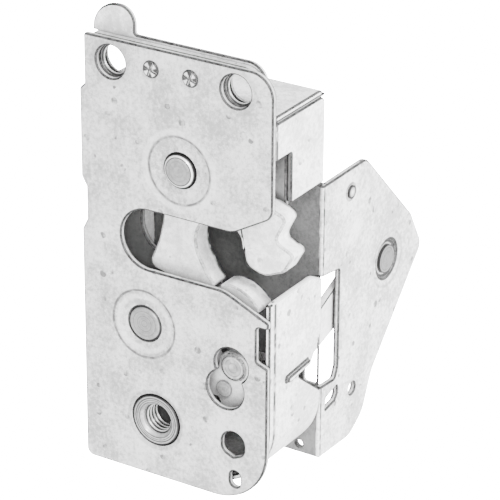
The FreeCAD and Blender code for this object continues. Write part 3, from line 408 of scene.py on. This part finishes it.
def facing_masks(tree):
    """Two masks: one on the faces that look to the front, one on those that look sideways."""
    toward = add_node(tree, "ShaderNodeSeparateXYZ")
    normal = tree.nodes.new("ShaderNodeNewGeometry").outputs["True Normal"]
    tree.links.new(normal, toward.inputs[0])
    to_front = math_node(tree, "LESS_THAN", toward.outputs["Y"], -FACING)
    slope = math_node(tree, "ABSOLUTE", toward.outputs["Y"])
    return to_front, math_node(tree, "LESS_THAN", slope, FACING)


def plated_metal(name, light, dark, pit=0.5, edge=0.75, crevice=0.6, rough=(0.34, 0.5), metal=0.55,
                 cloud_scale=90.0, marks=(), seams=(), shade_from=None, shade_from_x=None):
    """Zinc plating; each mark is a ring (centre, across, radius, width, strength, level).

    Each seam is a dark line (axis, place, width, front), on the front faces or on the sides.
    Front faces deeper than shade_from, and left of shade_from_x if it is given, are painted a dark
    grey as shade.
    """
    material, tree, shader = new_material(name)
    bloom = use_group(tree, BLOOM, Cloud_Scale=cloud_scale)
    pits = use_group(tree, PITS)
    edges = use_group(tree, EDGES, Edge_Radius=PLATE_EDGE)
    colour = mix_colour(tree, bloom.outputs["Bloom"], grey(dark), grey(light))
    colour = tint(tree, colour, pits.outputs["Pits"], pit, SPECK_GREY)
    colour = tint(tree, colour, pits.outputs["Rubs"], RUB_SHARE, RUB_GREY)
    colour = tint(tree, colour, edges.outputs["Edge"], edge, EDGE_GREY)
    # Painted shade: dark grey in the corners and deep inside the case.
    colour = tint(tree, colour, edges.outputs["Crevice"], crevice, CREVICE_SHADE_GREY)
    colour = tint(tree, colour, edges.outputs["Hollow Shade"], HOLLOW_SHADE_SHARE, HOLLOW_SHADE_GREY)
    wander = ramp(tree, scaled_noise(tree, 420.0, 2.0), 0.3, 0.6, 0.4, 1.0)
    # On the face and the wing, the dark rings are painted shade and the pale ones painted
    # highlight.
    for centre, across, radius, width, strength, level in marks:
        reach = distance_from_axis(tree, centre, across)
        ring = near_value(tree, reach, radius * MM, width * MM)
        colour = tint(tree, colour, math_node(tree, "MULTIPLY", ring, wander), strength, level)
    place = place_parts(tree)
    to_front, sideways = facing_masks(tree)
    # Painted shade: dark lines where the layers meet and in the grooves beside the wing's fold. The
    # fork's seam is a dark line near the rear of its sides.
    for axis, depth, width, front in seams:
        line = near_value(tree, place[axis], depth, width * MM)
        line = math_node(tree, "MULTIPLY", line, to_front if front else sideways)
        line = math_node(tree, "MULTIPLY", line, wander)
        colour = mix_colour(tree, line, colour, grey(SEAM_GREY))
    # Painted shade: front faces deep in the case, seen through its openings, take a dark grey.
    if shade_from is not None:
        deep = math_node(tree, "GREATER_THAN", place["Y"], shade_from)
        inside = math_node(tree, "MULTIPLY", deep, to_front)
        if shade_from_x is not None:
            left = math_node(tree, "LESS_THAN", place["X"], shade_from_x)
            inside = math_node(tree, "MULTIPLY", inside, left)
        painted_shade = mix_colour(tree, bloom.outputs["Bloom"], grey(PAINTED_SHADE_DARK), grey(PAINTED_SHADE_LIGHT))
        colour = mix_colour(tree, inside, colour, painted_shade)
    tree.links.new(colour, shader.inputs["Base Color"])
    shader.inputs["Metallic"].default_value = metal
    shine = ramp(tree, bloom.outputs["Bloom"], 0, 1, rough[1], rough[0])
    tree.links.new(shine, shader.inputs["Roughness"])
    height = math_node(tree, "SUBTRACT", bloom.outputs["Grain"], pits.outputs["Pits"])
    finish_bump(tree, shader, height, PLATE_BUMP, BUMP_DEPTH)
    return material

# %% [markdown]
# The rings round the pivots and the seams between the layers need places. Some of them are read
# from the solids' own boxes, and the others are numbers of the solid model.

# %% Places of the marks
FORK_AXIS = (7.3 * MM, 0, 67.7 * MM)
DETENT_AXIS = (-3.1 * MM, 0, 25.3 * MM)
RELEASE_AXIS = tuple(sum(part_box("release_pivot"), Vector()) / 2)
LOCK_AXIS = tuple(sum(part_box("lock_pivot"), Vector()) / 2)
TOP_HOLES = [Vector((-11.7, 0, 90.8)) * MM, Vector((22.7, 0, 90.8)) * MM]
BUSH_AXIS = (0, 0, 0)
BOSS_AXIS = (19.9 * MM, 0, 18.3 * MM)
# Painted shade and highlight: the dark rings round the pivots, the bush, the top holes and the lock
# pip are painted shade at the rims, and the pale halos beside the fork and detent dishes and the
# bush are painted highlight.
FACE_MARKS = [(FORK_AXIS, False, 8.5, 0.5, 0.9, 0.06), (FORK_AXIS, False, 9.6, 1.2, 0.5, 0.9),
              (DETENT_AXIS, False, 8.8, 0.5, 0.9, 0.06), (DETENT_AXIS, False, 7.2, 1.0, 0.5, 0.9),
              (BUSH_AXIS, False, 7.6, 0.7, 0.4, 0.16), (BUSH_AXIS, False, 8.6, 0.9, 0.25, 0.8)]
FACE_MARKS += [(tuple(hole), False, 5.2, 1.0, 0.3, 0.2) for hole in TOP_HOLES]
WING_MARKS = [(RELEASE_AXIS, True, 5.3, 0.4, 0.6, 0.1), (RELEASE_AXIS, True, 7.2, 0.5, 0.45, 0.14),
              (LOCK_AXIS, True, 2.1, 0.5, 0.8, 0.04)]
BOSS_MARKS = [(BOSS_AXIS, False, 0.0, 4.2, 0.8, 0.2), (BOSS_AXIS, False, 3.2, 0.4, 1.0, 0.02),
              (BOSS_AXIS, False, 2.2, 0.25, 0.5, 0.08), (BOSS_AXIS, False, 1.2, 0.25, 0.5, 0.08)]
CASE_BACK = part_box("case")[1].y
FORK_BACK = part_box("fork_bolt")[1].y
FOLD_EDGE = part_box("side_bracket")[1].x - 1.1 * MM
# The layer seams and the fold lines are painted shade, between the plates and in the fold's groove.
LAYERS = [("Y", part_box(node)[1].y, 0.8, False) for node in ("face_plate", "nut_plate")]
FOLD_LINES = [("X", FOLD_EDGE, 0.35, True), ("Y", CASE_BACK + 0.5 * MM, 0.4, False)]
BLANK_SEAM = [("Y", FORK_BACK - 0.5 * MM, 1.2, False)]
print(len(FACE_MARKS), "rings on the face and", len(WING_MARKS), "on the wing")

# %% [markdown]
# The face, the case, the wing and the inner plate are one zinc plating in lit and shaded copies:
# the case's paler greys are painted light for the side that faces the lamp, the wing's lie between,
# and the inner plate's dark greys are painted shade inside the case. The claw and the levers are
# thick blanks with a smoother skin, so they share their values.

# %% Plated finishes
BLANK = {"crevice": 0.8, "rough": (0.28, 0.42), "metal": 0.2, "cloud_scale": 140.0}
FACE_ZINC = plated_metal("face_zinc", 0.7, 0.33, pit=0.9, crevice=0.8, metal=0.3, marks=FACE_MARKS,
                         seams=LAYERS)
CASE_ZINC = plated_metal("case_zinc", 0.98, 0.55, pit=0.8, crevice=0.8, metal=0.12, seams=LAYERS,
                         shade_from=6 * MM)
WING_ZINC = plated_metal("wing_zinc", 0.88, 0.42, pit=0.9, crevice=0.8, metal=0.3, marks=WING_MARKS,
                         seams=FOLD_LINES, shade_from=CASE_BACK - 1.0 * MM, shade_from_x=FOLD_EDGE)
INNER_ZINC = plated_metal("inner_zinc", 0.42, 0.28, pit=0.3, crevice=0.7)
CLAW_ZINC = plated_metal("claw_zinc", 0.95, 0.62, edge=0.5, seams=BLANK_SEAM, **BLANK)
BLANK_ZINC = plated_metal("blank_zinc", 0.96, 0.66, **BLANK)
STOP_ZINC = plated_metal("stop_zinc", 0.96, 0.66, marks=BOSS_MARKS, **BLANK)
PLATED = (FACE_ZINC, CASE_ZINC, WING_ZINC, INNER_ZINC, CLAW_ZINC, BLANK_ZINC, STOP_ZINC)
print("plated finishes:", ", ".join(finish.name for finish in PLATED))

# %% [markdown]
# Most of the smaller finishes end in the same way: colour and metal go into the shader, and the
# grain drives the roughness and a fine bump. So that ending is one helper.

# %% Last links of a finish


def finish_surface(tree, shader, colour, metal, grain, rough, bump, depth=BUMP_DEPTH):
    """Colour, metal, and a roughness and a bump that follow the grain."""
    tree.links.new(colour, shader.inputs["Base Color"])
    shader.inputs["Metallic"].default_value = metal
    tree.links.new(ramp(tree, grain, 0, 1, *rough), shader.inputs["Roughness"])
    finish_bump(tree, shader, grain, bump, depth)

# %% [markdown]
# A turned pin shows rings round its axis on its end face. The rings are a sine of the distance
# from the axis, and that distance is measured in Object coordinates about the pin's own centre, so
# each pin has its own material with its own centre.

# %% Turned ends
RING_PITCH = 1.1 * MM
PIN_LIGHT = 0.46
PIN_DARK = 0.26
RING_SHARE, RING_GREY = 0.35, PIN_DARK * 0.7
PIN_EDGE = 0.45 * MM
PIN_METAL = 0.4
PIN_DULL, PIN_BRIGHT = 0.48, 0.34
PIN_BUMP = 0.25


def turned_metal(name, centre, across, marks):
    """Turning rings about an axis through centre; each mark is (radius, width, strength, level)."""
    material, tree, shader = new_material(name)
    reach = distance_from_axis(tree, centre, across)
    phase = math_node(tree, "MULTIPLY", reach, 2 * math.pi / RING_PITCH)
    rings = ramp(tree, math_node(tree, "SINE", phase), 0.2, 1.0)
    bloom = use_group(tree, BLOOM)
    edges = use_group(tree, EDGES, Edge_Radius=PIN_EDGE)
    colour = mix_colour(tree, bloom.outputs["Bloom"], grey(PIN_DARK), grey(PIN_LIGHT))
    colour = tint(tree, colour, rings, RING_SHARE, RING_GREY)
    colour = tint(tree, colour, edges.outputs["Edge"], 0.9, 0.05)
    # Painted shade: near black in the corners that ambient occlusion finds.
    colour = tint(tree, colour, edges.outputs["Crevice"], 0.85, 0.04)
    for radius, width, strength, level in marks:
        ring = near_value(tree, reach, radius * MM, width * MM)
        colour = tint(tree, colour, ring, strength, level)
    tree.links.new(colour, shader.inputs["Base Color"])
    shader.inputs["Metallic"].default_value = PIN_METAL
    shine = ramp(tree, bloom.outputs["Bloom"], 0, 1, PIN_DULL, PIN_BRIGHT)
    tree.links.new(shine, shader.inputs["Roughness"])
    finish_bump(tree, shader, rings, PIN_BUMP, BUMP_DEPTH)
    return material


def middle_of(node):
    """The middle of a solid's box."""
    low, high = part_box(node)
    return tuple((low + high) / 2)


# The pale ring near the fork pivot's rim and the pale middle of the lock pivot are painted
# highlights.
PIN_MARKS = {
    "fork_pivot": [(0.0, 6.0, 0.5, 0.12), (3.8, 0.3, 0.9, 0.95), (3.45, 0.22, 0.9, 0.04),
                   (4.2, 0.4, 1.0, 0.01)],
    "detent_pivot": [(0.0, 7.0, 0.5, 0.12), (4.45, 0.4, 1.0, 0.02), (3.2, 0.2, 0.5, 0.08),
                     (2.0, 0.2, 0.5, 0.08), (0.8, 0.2, 0.5, 0.08)],
    "threaded_bush": [(6.5, 0.45, 1.0, 0.015), (5.75, 0.28, 0.9, 0.04), (5.25, 0.2, 0.9, 0.06),
                      (4.75, 0.2, 0.8, 0.06)],
    "release_pivot": [(0.0, 6.0, 0.75, 0.1), (3.65, 0.4, 1.0, 0.02), (2.9, 0.2, 0.8, 0.06),
                      (1.9, 0.15, 0.5, 0.08)],
    "lock_pivot": [(0.0, 0.9, 0.8, 0.95), (1.5, 0.55, 1.0, 0.01)],
}
ACROSS = {"fork_pivot": False, "detent_pivot": False, "threaded_bush": False, "detent_peg": False,
          "release_pivot": True, "release_washer": True, "lock_pivot": True}
TURNED = {pin: turned_metal(pin + "_steel", middle_of(pin), across, PIN_MARKS.get(pin, ()))
          for pin, across in ACROSS.items()}
print("turned finishes:", ", ".join(TURNED))

# %% [markdown]
# The other finishes are small and mostly hidden: oily bronze for the bushes, dark drawn wire with
# a fine grain for the springs, and matt moulded plastic for the rod clips. The floor is a pale
# matt sheet. It glows brightly where the camera sees it, which gives a white background, and only
# a little for the lock, which would else be lit from below.

# %% Bronze, wire, plastic and floor
FLOOR_GREY = 0.93
FLOOR_ROUGH = 0.95
FLOOR_GLOW = 0.4
BACKDROP_GLOW = 40.0


def bronze_finish():
    material, tree, shader = new_material("oiled_bronze")
    bloom = use_group(tree, BLOOM, Cloud_Scale=300.0, Mottle_Scale=2600.0)
    colour = mix_colour(tree, bloom.outputs["Bloom"], (0.2, 0.13, 0.06, 1), (0.42, 0.29, 0.14, 1))
    finish_surface(tree, shader, colour, 0.85, bloom.outputs["Grain"], (0.32, 0.5), 0.3)
    return material


def wire_finish():
    material, tree, shader = new_material("drawn_wire")
    bloom = use_group(tree, BLOOM, Cloud_Scale=500.0, Mottle_Scale=3000.0)
    edges = use_group(tree, EDGES)
    colour = mix_colour(tree, bloom.outputs["Bloom"], grey(0.16), grey(0.32, 0.03))
    # Painted shade: near black where ambient occlusion finds corners.
    colour = mix_colour(tree, edges.outputs["Crevice"], colour, grey(0.04))
    finish_surface(tree, shader, colour, 0.85, bloom.outputs["Grain"], (0.25, 0.42), 0.2,
                   depth=BUMP_DEPTH / 2)
    return material


def clip_finish():
    material, tree, shader = new_material("clip_plastic")
    pores = scaled_noise(tree, 2600.0, 3.0)
    clouds = scaled_noise(tree, 200.0, 2.0)
    edges = use_group(tree, EDGES)
    colour = mix_colour(tree, clouds, (0.58, 0.56, 0.5, 1), (0.72, 0.7, 0.64, 1))
    # Painted shade: darker where ambient occlusion finds corners.
    colour = mix_colour(tree, edges.outputs["Crevice"], colour, (0.2, 0.19, 0.17, 1))
    tree.links.new(colour, shader.inputs["Base Color"])
    tree.links.new(ramp(tree, pores, 0.3, 0.7, 0.42, 0.6), shader.inputs["Roughness"])
    finish_bump(tree, shader, pores, 0.15, BUMP_DEPTH)
    return material


def floor_finish():
    material, tree, shader = new_material("pale_floor")
    shader.inputs["Base Color"].default_value = grey(FLOOR_GREY)
    shader.inputs["Roughness"].default_value = FLOOR_ROUGH
    shader.inputs["Emission Color"].default_value = grey(1.0)
    seen = tree.nodes.new("ShaderNodeLightPath").outputs["Is Camera Ray"]
    glow = ramp(tree, seen, 0, 1, FLOOR_GLOW, BACKDROP_GLOW)
    tree.links.new(glow, shader.inputs["Emission Strength"])
    return material


BRONZE = bronze_finish()
WIRE = wire_finish()
CLIP = clip_finish()
floor.data.materials.append(floor_finish())
print("small finishes:", BRONZE.name, WIRE.name, CLIP.name)

# %% [markdown]
# A sheared or pressed edge of zinc plated sheet is burnished grey, and it draws a thin dark line
# round every piece and hole. It is a finish of its own, given to the faces that the bevel makes.
# Its grey wanders, so that the line is broken here and there. Thick blanks are paler on the front
# edge and near black on the rear one, and the sill of the side opening is rubbed bright.

# %% Rubbed edge finishes
SILL_HEIGHT = 38.5 * MM
SILL_FRONT = 3.0 * MM
SILL_GREY = 0.55
REAR_EDGE_GREY = 0.004


def edge_finish(name, shade, shine, sill=False, dark_from=None):
    """An edge that wanders between two greys; near black behind dark_from.

    With sill, the lower edge of the side opening is rubbed bright behind the plate.
    """
    material, tree, shader = new_material(name)
    bloom = use_group(tree, BLOOM, Cloud_Scale=240.0, Mottle_Scale=1600.0)
    edges = use_group(tree, EDGES, Crevice_Reach=2 * MM)
    colour = mix_colour(tree, bloom.outputs["Bloom"], grey(shade), grey(shine))
    # Painted shade: near black where ambient occlusion finds corners.
    colour = mix_colour(tree, edges.outputs["Crevice"], colour, grey(0.006))
    place = place_parts(tree)
    if dark_from is not None:
        rear = math_node(tree, "GREATER_THAN", place["Y"], dark_from)
        colour = mix_colour(tree, rear, colour, grey(REAR_EDGE_GREY))
    if sill:
        along = math_node(tree, "GREATER_THAN", place["Y"], SILL_FRONT)
        low = near_value(tree, place["Z"], SILL_HEIGHT - 1.5 * MM, 4.0 * MM)
        colour = mix_colour(tree, math_node(tree, "MULTIPLY", low, along), colour, grey(SILL_GREY))
    shader.inputs["Specular IOR Level"].default_value = 0.2
    finish_surface(tree, shader, colour, 0.0, bloom.outputs["Grain"], (0.5, 0.7), 0.2)
    return material


RUBBED_EDGE = edge_finish("rubbed_edge", 0.01, 0.07)
CASE_EDGE = edge_finish("case_edge", 0.01, 0.07, sill=True)
BLANK_EDGE = edge_finish("blank_edge", 0.16, 0.5, dark_from=FORK_BACK - 3.0 * MM)
print("edge finishes:", RUBBED_EDGE.name, CASE_EDGE.name, BLANK_EDGE.name)

# %% [markdown]
# A thread is bright on its crests, where the screw rubs, and its root is painted dark as shade. Two
# rivets hold the nut plate. Their heads were upset by a cross-shaped punch, and the shade in each
# punch mark is painted as four dark petals round a dark middle.

# %% Thread and rivet finishes


def thread_finish(name, centre, crest):
    """Bright on the thread's crest and painted dark as shade in its root, by the distance from the
    hole's axis.
    """
    material, tree, shader = new_material(name)
    reach = distance_from_axis(tree, centre)
    bloom = use_group(tree, BLOOM, Cloud_Scale=300.0, Mottle_Scale=1800.0)
    depth = ramp(tree, reach, crest + 0.04 * MM, crest + 0.3 * MM)
    bright = mix_colour(tree, bloom.outputs["Bloom"], grey(0.6), grey(0.92))
    colour = mix_colour(tree, depth, bright, grey(0.03))
    finish_surface(tree, shader, colour, 0.5, bloom.outputs["Grain"], (0.3, 0.5), 0.15)
    return material


def staked_finish(name, middle, half_pitch, radius):
    """Two rivet heads, with painted shade in the punch marks and a dark line at the rim."""
    material, tree, shader = new_material(name)
    place = place_parts(tree)
    either = math_node(tree, "ABSOLUTE", math_node(tree, "SUBTRACT", place["X"], middle[0]))
    across = math_node(tree, "SUBTRACT", either, half_pitch)
    upward = math_node(tree, "SUBTRACT", place["Z"], middle[2])
    squares = math_node(tree, "ADD", math_node(tree, "MULTIPLY", across, across),
                        math_node(tree, "MULTIPLY", upward, upward))
    reach = math_node(tree, "SQRT", squares)
    # Painted shade: four dark petals and a dark middle stand for the shade in the punch marks.
    turn = math_node(tree, "MULTIPLY", math_node(tree, "ARCTAN2", upward, across), 4.0)
    petals = ramp(tree, math_node(tree, "COSINE", turn), -0.2, 0.5)
    petals = math_node(tree, "MULTIPLY", petals, ramp(tree, reach, radius * 0.15, radius * 0.5))
    bloom = use_group(tree, BLOOM, Cloud_Scale=500.0, Mottle_Scale=2400.0)
    plain = mix_colour(tree, bloom.outputs["Bloom"], grey(0.55), grey(0.95))
    colour = tint(tree, plain, petals, 0.97, 0.012)
    core = ramp(tree, reach, radius * 0.3, radius * 0.1, 0.0, 0.9)
    colour = mix_colour(tree, core, colour, grey(0.02))
    rim = near_value(tree, reach, radius - 0.15 * MM, 0.55 * MM)
    colour = mix_colour(tree, rim, colour, grey(0.01))
    finish_surface(tree, shader, colour, 0.3, bloom.outputs["Grain"], (0.35, 0.55), 0.2)
    return material


rivet_low, rivet_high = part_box("plate_rivets")
RIVET_RADIUS = (rivet_high.z - rivet_low.z) / 2
RIVET_HALF_PITCH = (rivet_high.x - rivet_low.x) / 2 - RIVET_RADIUS
STAKED = staked_finish("staked_steel", middle_of("plate_rivets"), RIVET_HALF_PITCH, RIVET_RADIUS)
print("rivet finish:", STAKED.name)

# %% [markdown]
# The pressings are right in the solid model except for their knife edges. A copy of each is merged
# into one skin, and a small bevel breaks every sharp edge as barrel plating leaves it. The bevel's
# own faces take the second material, which is the rubbed edge. Where two edges nearly line up, the
# bevel can throw a corner far off, so such a corner is set back. Weighted normals keep flats flat.

# %% Broken edges for the stamped pieces
WELD = 0.002 * MM
SHARP = math.radians(40)
STRAY = 1.2


def settle_strays(piece, sheet, reach):
    """A corner that the bevel threw off the sheet goes back to the nearest point of the sheet."""
    strays = 0
    for vertex in piece.data.vertices:
        place, _, _, distance = sheet.find_nearest(vertex.co)
        if distance > reach:
            vertex.co = place
            strays += 1
    return strays


def dressed_copy(node, name, material, body, width=0.44 * MM, segments=2, shape=None,
                 edge=RUBBED_EDGE):
    """A copy of a CAD node with its triangles merged and its edges broken, in place of the node."""
    deselect()
    source = NODES[node]
    source.select_set(True)
    bpy.context.view_layer.objects.active = source
    bpy.ops.object.duplicate()
    piece = bpy.context.object
    piece.name = name
    piece.data.name = name
    world_place = piece.matrix_world.copy()
    piece.parent = None
    piece.matrix_world = world_place
    bpy.ops.object.transform_apply(location=True, rotation=True, scale=True)
    bpy.ops.object.mode_set(mode="EDIT")
    bpy.ops.mesh.select_all(action="SELECT")
    bpy.ops.mesh.remove_doubles(threshold=WELD)
    bpy.ops.object.mode_set(mode="OBJECT")
    if shape:
        shape(piece)
    piece.data.materials.clear()
    piece.data.materials.append(material)
    piece.data.materials.append(edge)
    sheet = BVHTree.FromPolygons([tuple(vertex.co) for vertex in piece.data.vertices],
                                 [tuple(face.vertices) for face in piece.data.polygons])
    bevel = piece.modifiers.new("broken edges", "BEVEL")
    bevel.material = 1
    bevel.width = width
    bevel.segments = segments
    bevel.limit_method = "ANGLE"
    bevel.angle_limit = SHARP
    bevel.use_clamp_overlap = False
    bevel.loop_slide = False
    bevel.miter_outer = "MITER_ARC"
    bpy.ops.object.modifier_apply(modifier=bevel.name)
    strays = settle_strays(piece, sheet, STRAY * width)
    bpy.ops.object.shade_smooth_by_angle(angle=SHARP)
    weighted = piece.modifiers.new("weighted normals", "WEIGHTED_NORMAL")
    weighted.keep_sharp = True
    bpy.ops.object.modifier_apply(modifier=weighted.name)
    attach(piece, body)
    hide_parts(node)
    print(name, len(piece.data.polygons), "faces,", strays, "corners settled")


dressed_copy("face_plate", "plated_face", FACE_ZINC, "lock_case")
dressed_copy("case", "folded_case", CASE_ZINC, "lock_case", edge=CASE_EDGE)
dressed_copy("side_bracket", "folded_wing", WING_ZINC, "lock_case")
dressed_copy("bearing_plate", "inner_plate", INNER_ZINC, "lock_case")
dressed_copy("fork_bolt", "claw_fork", CLAW_ZINC, "fork", width=0.6 * MM,
             segments=3, edge=BLANK_EDGE)
dressed_copy("detent_lever", "stop_lever", STOP_ZINC, "detent", width=0.45 * MM,
             edge=BLANK_EDGE)
dressed_copy("release_lever", "opening_lever", BLANK_ZINC, "release",
             width=0.24 * MM)
dressed_copy("lock_lever", "locking_lever", BLANK_ZINC, "lock", width=0.24 * MM)
dressed_copy("plate_rivets", "staked_rivets", STAKED, "lock_case", width=0.14 * MM)

# %% [markdown]
# The nut plate's holes have real threads in the photograph. Its copy gets its bores opened to the
# thread's outer radius, and a helical ridge goes in each. The ridge is a small triangle carried
# round by a Screw modifier, which is how a thread is cut.

# %% Threads
THREAD_OUTER = 4.0 * MM
THREAD_INNER = 3.42 * MM
THREAD_PITCH = 1.25 * MM
THREAD_STEPS = 48
THREAD_SINK = 0.02 * MM
THREAD_FLANK = 0.42 * THREAD_PITCH


def open_bores(piece):
    """Widens the tapped holes to the thread's outer radius."""
    for hole in TOP_HOLES:
        for vertex in piece.data.vertices:
            across = Vector((vertex.co.x - hole.x, 0, vertex.co.z - hole.z))
            if across.length < THREAD_INNER + 0.1 * MM:
                across.normalize()
                vertex.co.x = hole.x + across.x * THREAD_OUTER
                vertex.co.z = hole.z + across.z * THREAD_OUTER


def thread_ridge(name, centre, start, length, body, material):
    """A helical ridge about an axis along Y, from start into the door."""
    deselect()
    bpy.ops.mesh.primitive_circle_add(vertices=3, radius=MM, location=(0, 0, 0))
    ridge = bpy.context.object
    ridge.name = name
    corners = [(THREAD_OUTER + THREAD_SINK, -THREAD_FLANK), (THREAD_INNER, 0.0),
               (THREAD_OUTER + THREAD_SINK, THREAD_FLANK)]
    for vertex, (radius, along) in zip(ridge.data.vertices, corners):
        vertex.co = (radius, 0, along)
    screw = ridge.modifiers.new("thread", "SCREW")
    screw.angle = 2 * math.pi
    screw.screw_offset = THREAD_PITCH
    screw.iterations = max(1, round((length - THREAD_PITCH) / THREAD_PITCH))
    screw.steps = THREAD_STEPS
    screw.render_steps = THREAD_STEPS
    screw.use_merge_vertices = True
    bpy.ops.object.modifier_apply(modifier=screw.name)
    ridge.rotation_euler = (-math.pi / 2, 0, 0)
    ridge.location = (centre[0], start + THREAD_PITCH * 0.5, centre[2])
    bpy.ops.object.transform_apply(location=True, rotation=True, scale=True)
    bpy.ops.object.mode_set(mode="EDIT")
    bpy.ops.mesh.select_all(action="DESELECT")
    bpy.ops.mesh.select_mode(type="EDGE")
    bpy.ops.mesh.select_non_manifold()
    bpy.ops.mesh.edge_face_add()
    bpy.ops.mesh.select_all(action="SELECT")
    bpy.ops.mesh.normals_make_consistent(inside=False)
    bpy.ops.object.mode_set(mode="OBJECT")
    bpy.ops.object.shade_smooth_by_angle(angle=math.radians(35))
    ridge.data.materials.append(material)
    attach(ridge, body)
    print(name, len(ridge.data.polygons), "faces")


dressed_copy("nut_plate", "tapped_plate", FACE_ZINC, "lock_case", shape=open_bores)
nut_front, nut_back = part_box("nut_plate")
for label, hole in zip(("left", "right"), TOP_HOLES):
    finish = thread_finish("upper_thread_" + label + "_finish", tuple(hole), THREAD_INNER)
    thread_ridge("upper_thread_" + label, hole, nut_front.y, nut_back.y - nut_front.y, "lock_case",
                 finish)

# %% [markdown]
# The lower hole has a threaded bush pressed into the plate, with a lead-in cone at its mouth that
# shows as a bright ring. It is a lathe job, so its section is drawn once and spun about the hole's
# axis, and then gets its own thread.

# %% Lower bush
bush_low, bush_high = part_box("threaded_bush")
BUSH_END = bush_high.y
BUSH_FLANGE = (bush_high.x - bush_low.x) / 2


def spun_section(name, section, steps=64):
    """A closed section of (radius, along Y) points, spun about the Y axis through the origin."""
    deselect()
    bpy.ops.mesh.primitive_circle_add(vertices=len(section), radius=MM, location=(0, 0, 0))
    piece = bpy.context.object
    piece.name = name
    for vertex, (radius, along) in zip(piece.data.vertices, section):
        vertex.co = (radius, along, 0)
    bpy.ops.object.mode_set(mode="EDIT")
    bpy.ops.mesh.select_all(action="SELECT")
    bpy.ops.mesh.spin(steps=steps, angle=2 * math.pi, center=(0, 0, 0), axis=(0, 1, 0))
    bpy.ops.mesh.select_all(action="SELECT")
    bpy.ops.mesh.remove_doubles(threshold=WELD)
    bpy.ops.mesh.normals_make_consistent(inside=False)
    bpy.ops.object.mode_set(mode="OBJECT")
    bpy.ops.object.shade_smooth_by_angle(angle=math.radians(30))
    return piece


FLANGE_EDGE = BUSH_FLANGE - 0.02 * MM
lower_bush = spun_section("lower_bush", [
    (4.75 * MM, 0.05 * MM), (6.35 * MM, 0.05 * MM), (6.55 * MM, 0.25 * MM), (6.55 * MM, 1.6 * MM),
    (FLANGE_EDGE, 1.62 * MM), (FLANGE_EDGE, 2.55 * MM), (5.4 * MM, 2.6 * MM),
    (5.4 * MM, BUSH_END - 0.4 * MM), (5.1 * MM, BUSH_END), (THREAD_OUTER + 0.1 * MM, BUSH_END),
    (THREAD_OUTER, BUSH_END - 0.2 * MM), (THREAD_OUTER, 0.9 * MM)])
lower_bush.data.materials.append(TURNED["threaded_bush"])
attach(lower_bush, "lock_case")
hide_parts("threaded_bush")
print("lower_bush", len(lower_bush.data.polygons), "faces")
thread_ridge("lower_thread", BUSH_AXIS, 0.8 * MM, BUSH_END - 0.8 * MM, "lock_case",
             thread_finish("lower_thread_finish", BUSH_AXIS, THREAD_INNER))

# %% [markdown]
# What the solid model already shapes well keeps its solid and only gets its finish: the pins, the
# bushes, the fork's spring and the clips.

# %% Finishes for the other solids


def finish_node(node, material):
    """Puts one material in every slot of a solid, which gets a slot if it has none."""
    if not NODES[node].material_slots:
        NODES[node].data.materials.append(material)
    for entry in NODES[node].material_slots:
        entry.material = material


KEPT = {pin: TURNED[pin] for pin in ACROSS if pin != "threaded_bush"}
KEPT.update(fork_bush=BRONZE, detent_bush=BRONZE, fork_spring=WIRE, release_rod_clip=CLIP,
            lock_rod_clip=CLIP)
for node, finish in KEPT.items():
    finish_node(node, finish)
print("finished", len(KEPT), "solids")

# %% [markdown]
# The stop lever's tail comes down on its spring as the fork opens. This spring is a copy of the
# solid with the wire finish and a mesh of its own, fixed to the lock case.

deselect()
spring_mesh = NODES["detent_spring"].data.copy()
spring_mesh.transform(NODES["detent_spring"].matrix_world)
spring_mesh.materials.clear()
spring_mesh.materials.append(WIRE)
lever_spring = bpy.data.objects.new("lever_spring", spring_mesh)
bpy.context.collection.objects.link(lever_spring)
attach(lever_spring, "lock_case")
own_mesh(lever_spring)
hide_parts("detent_spring")
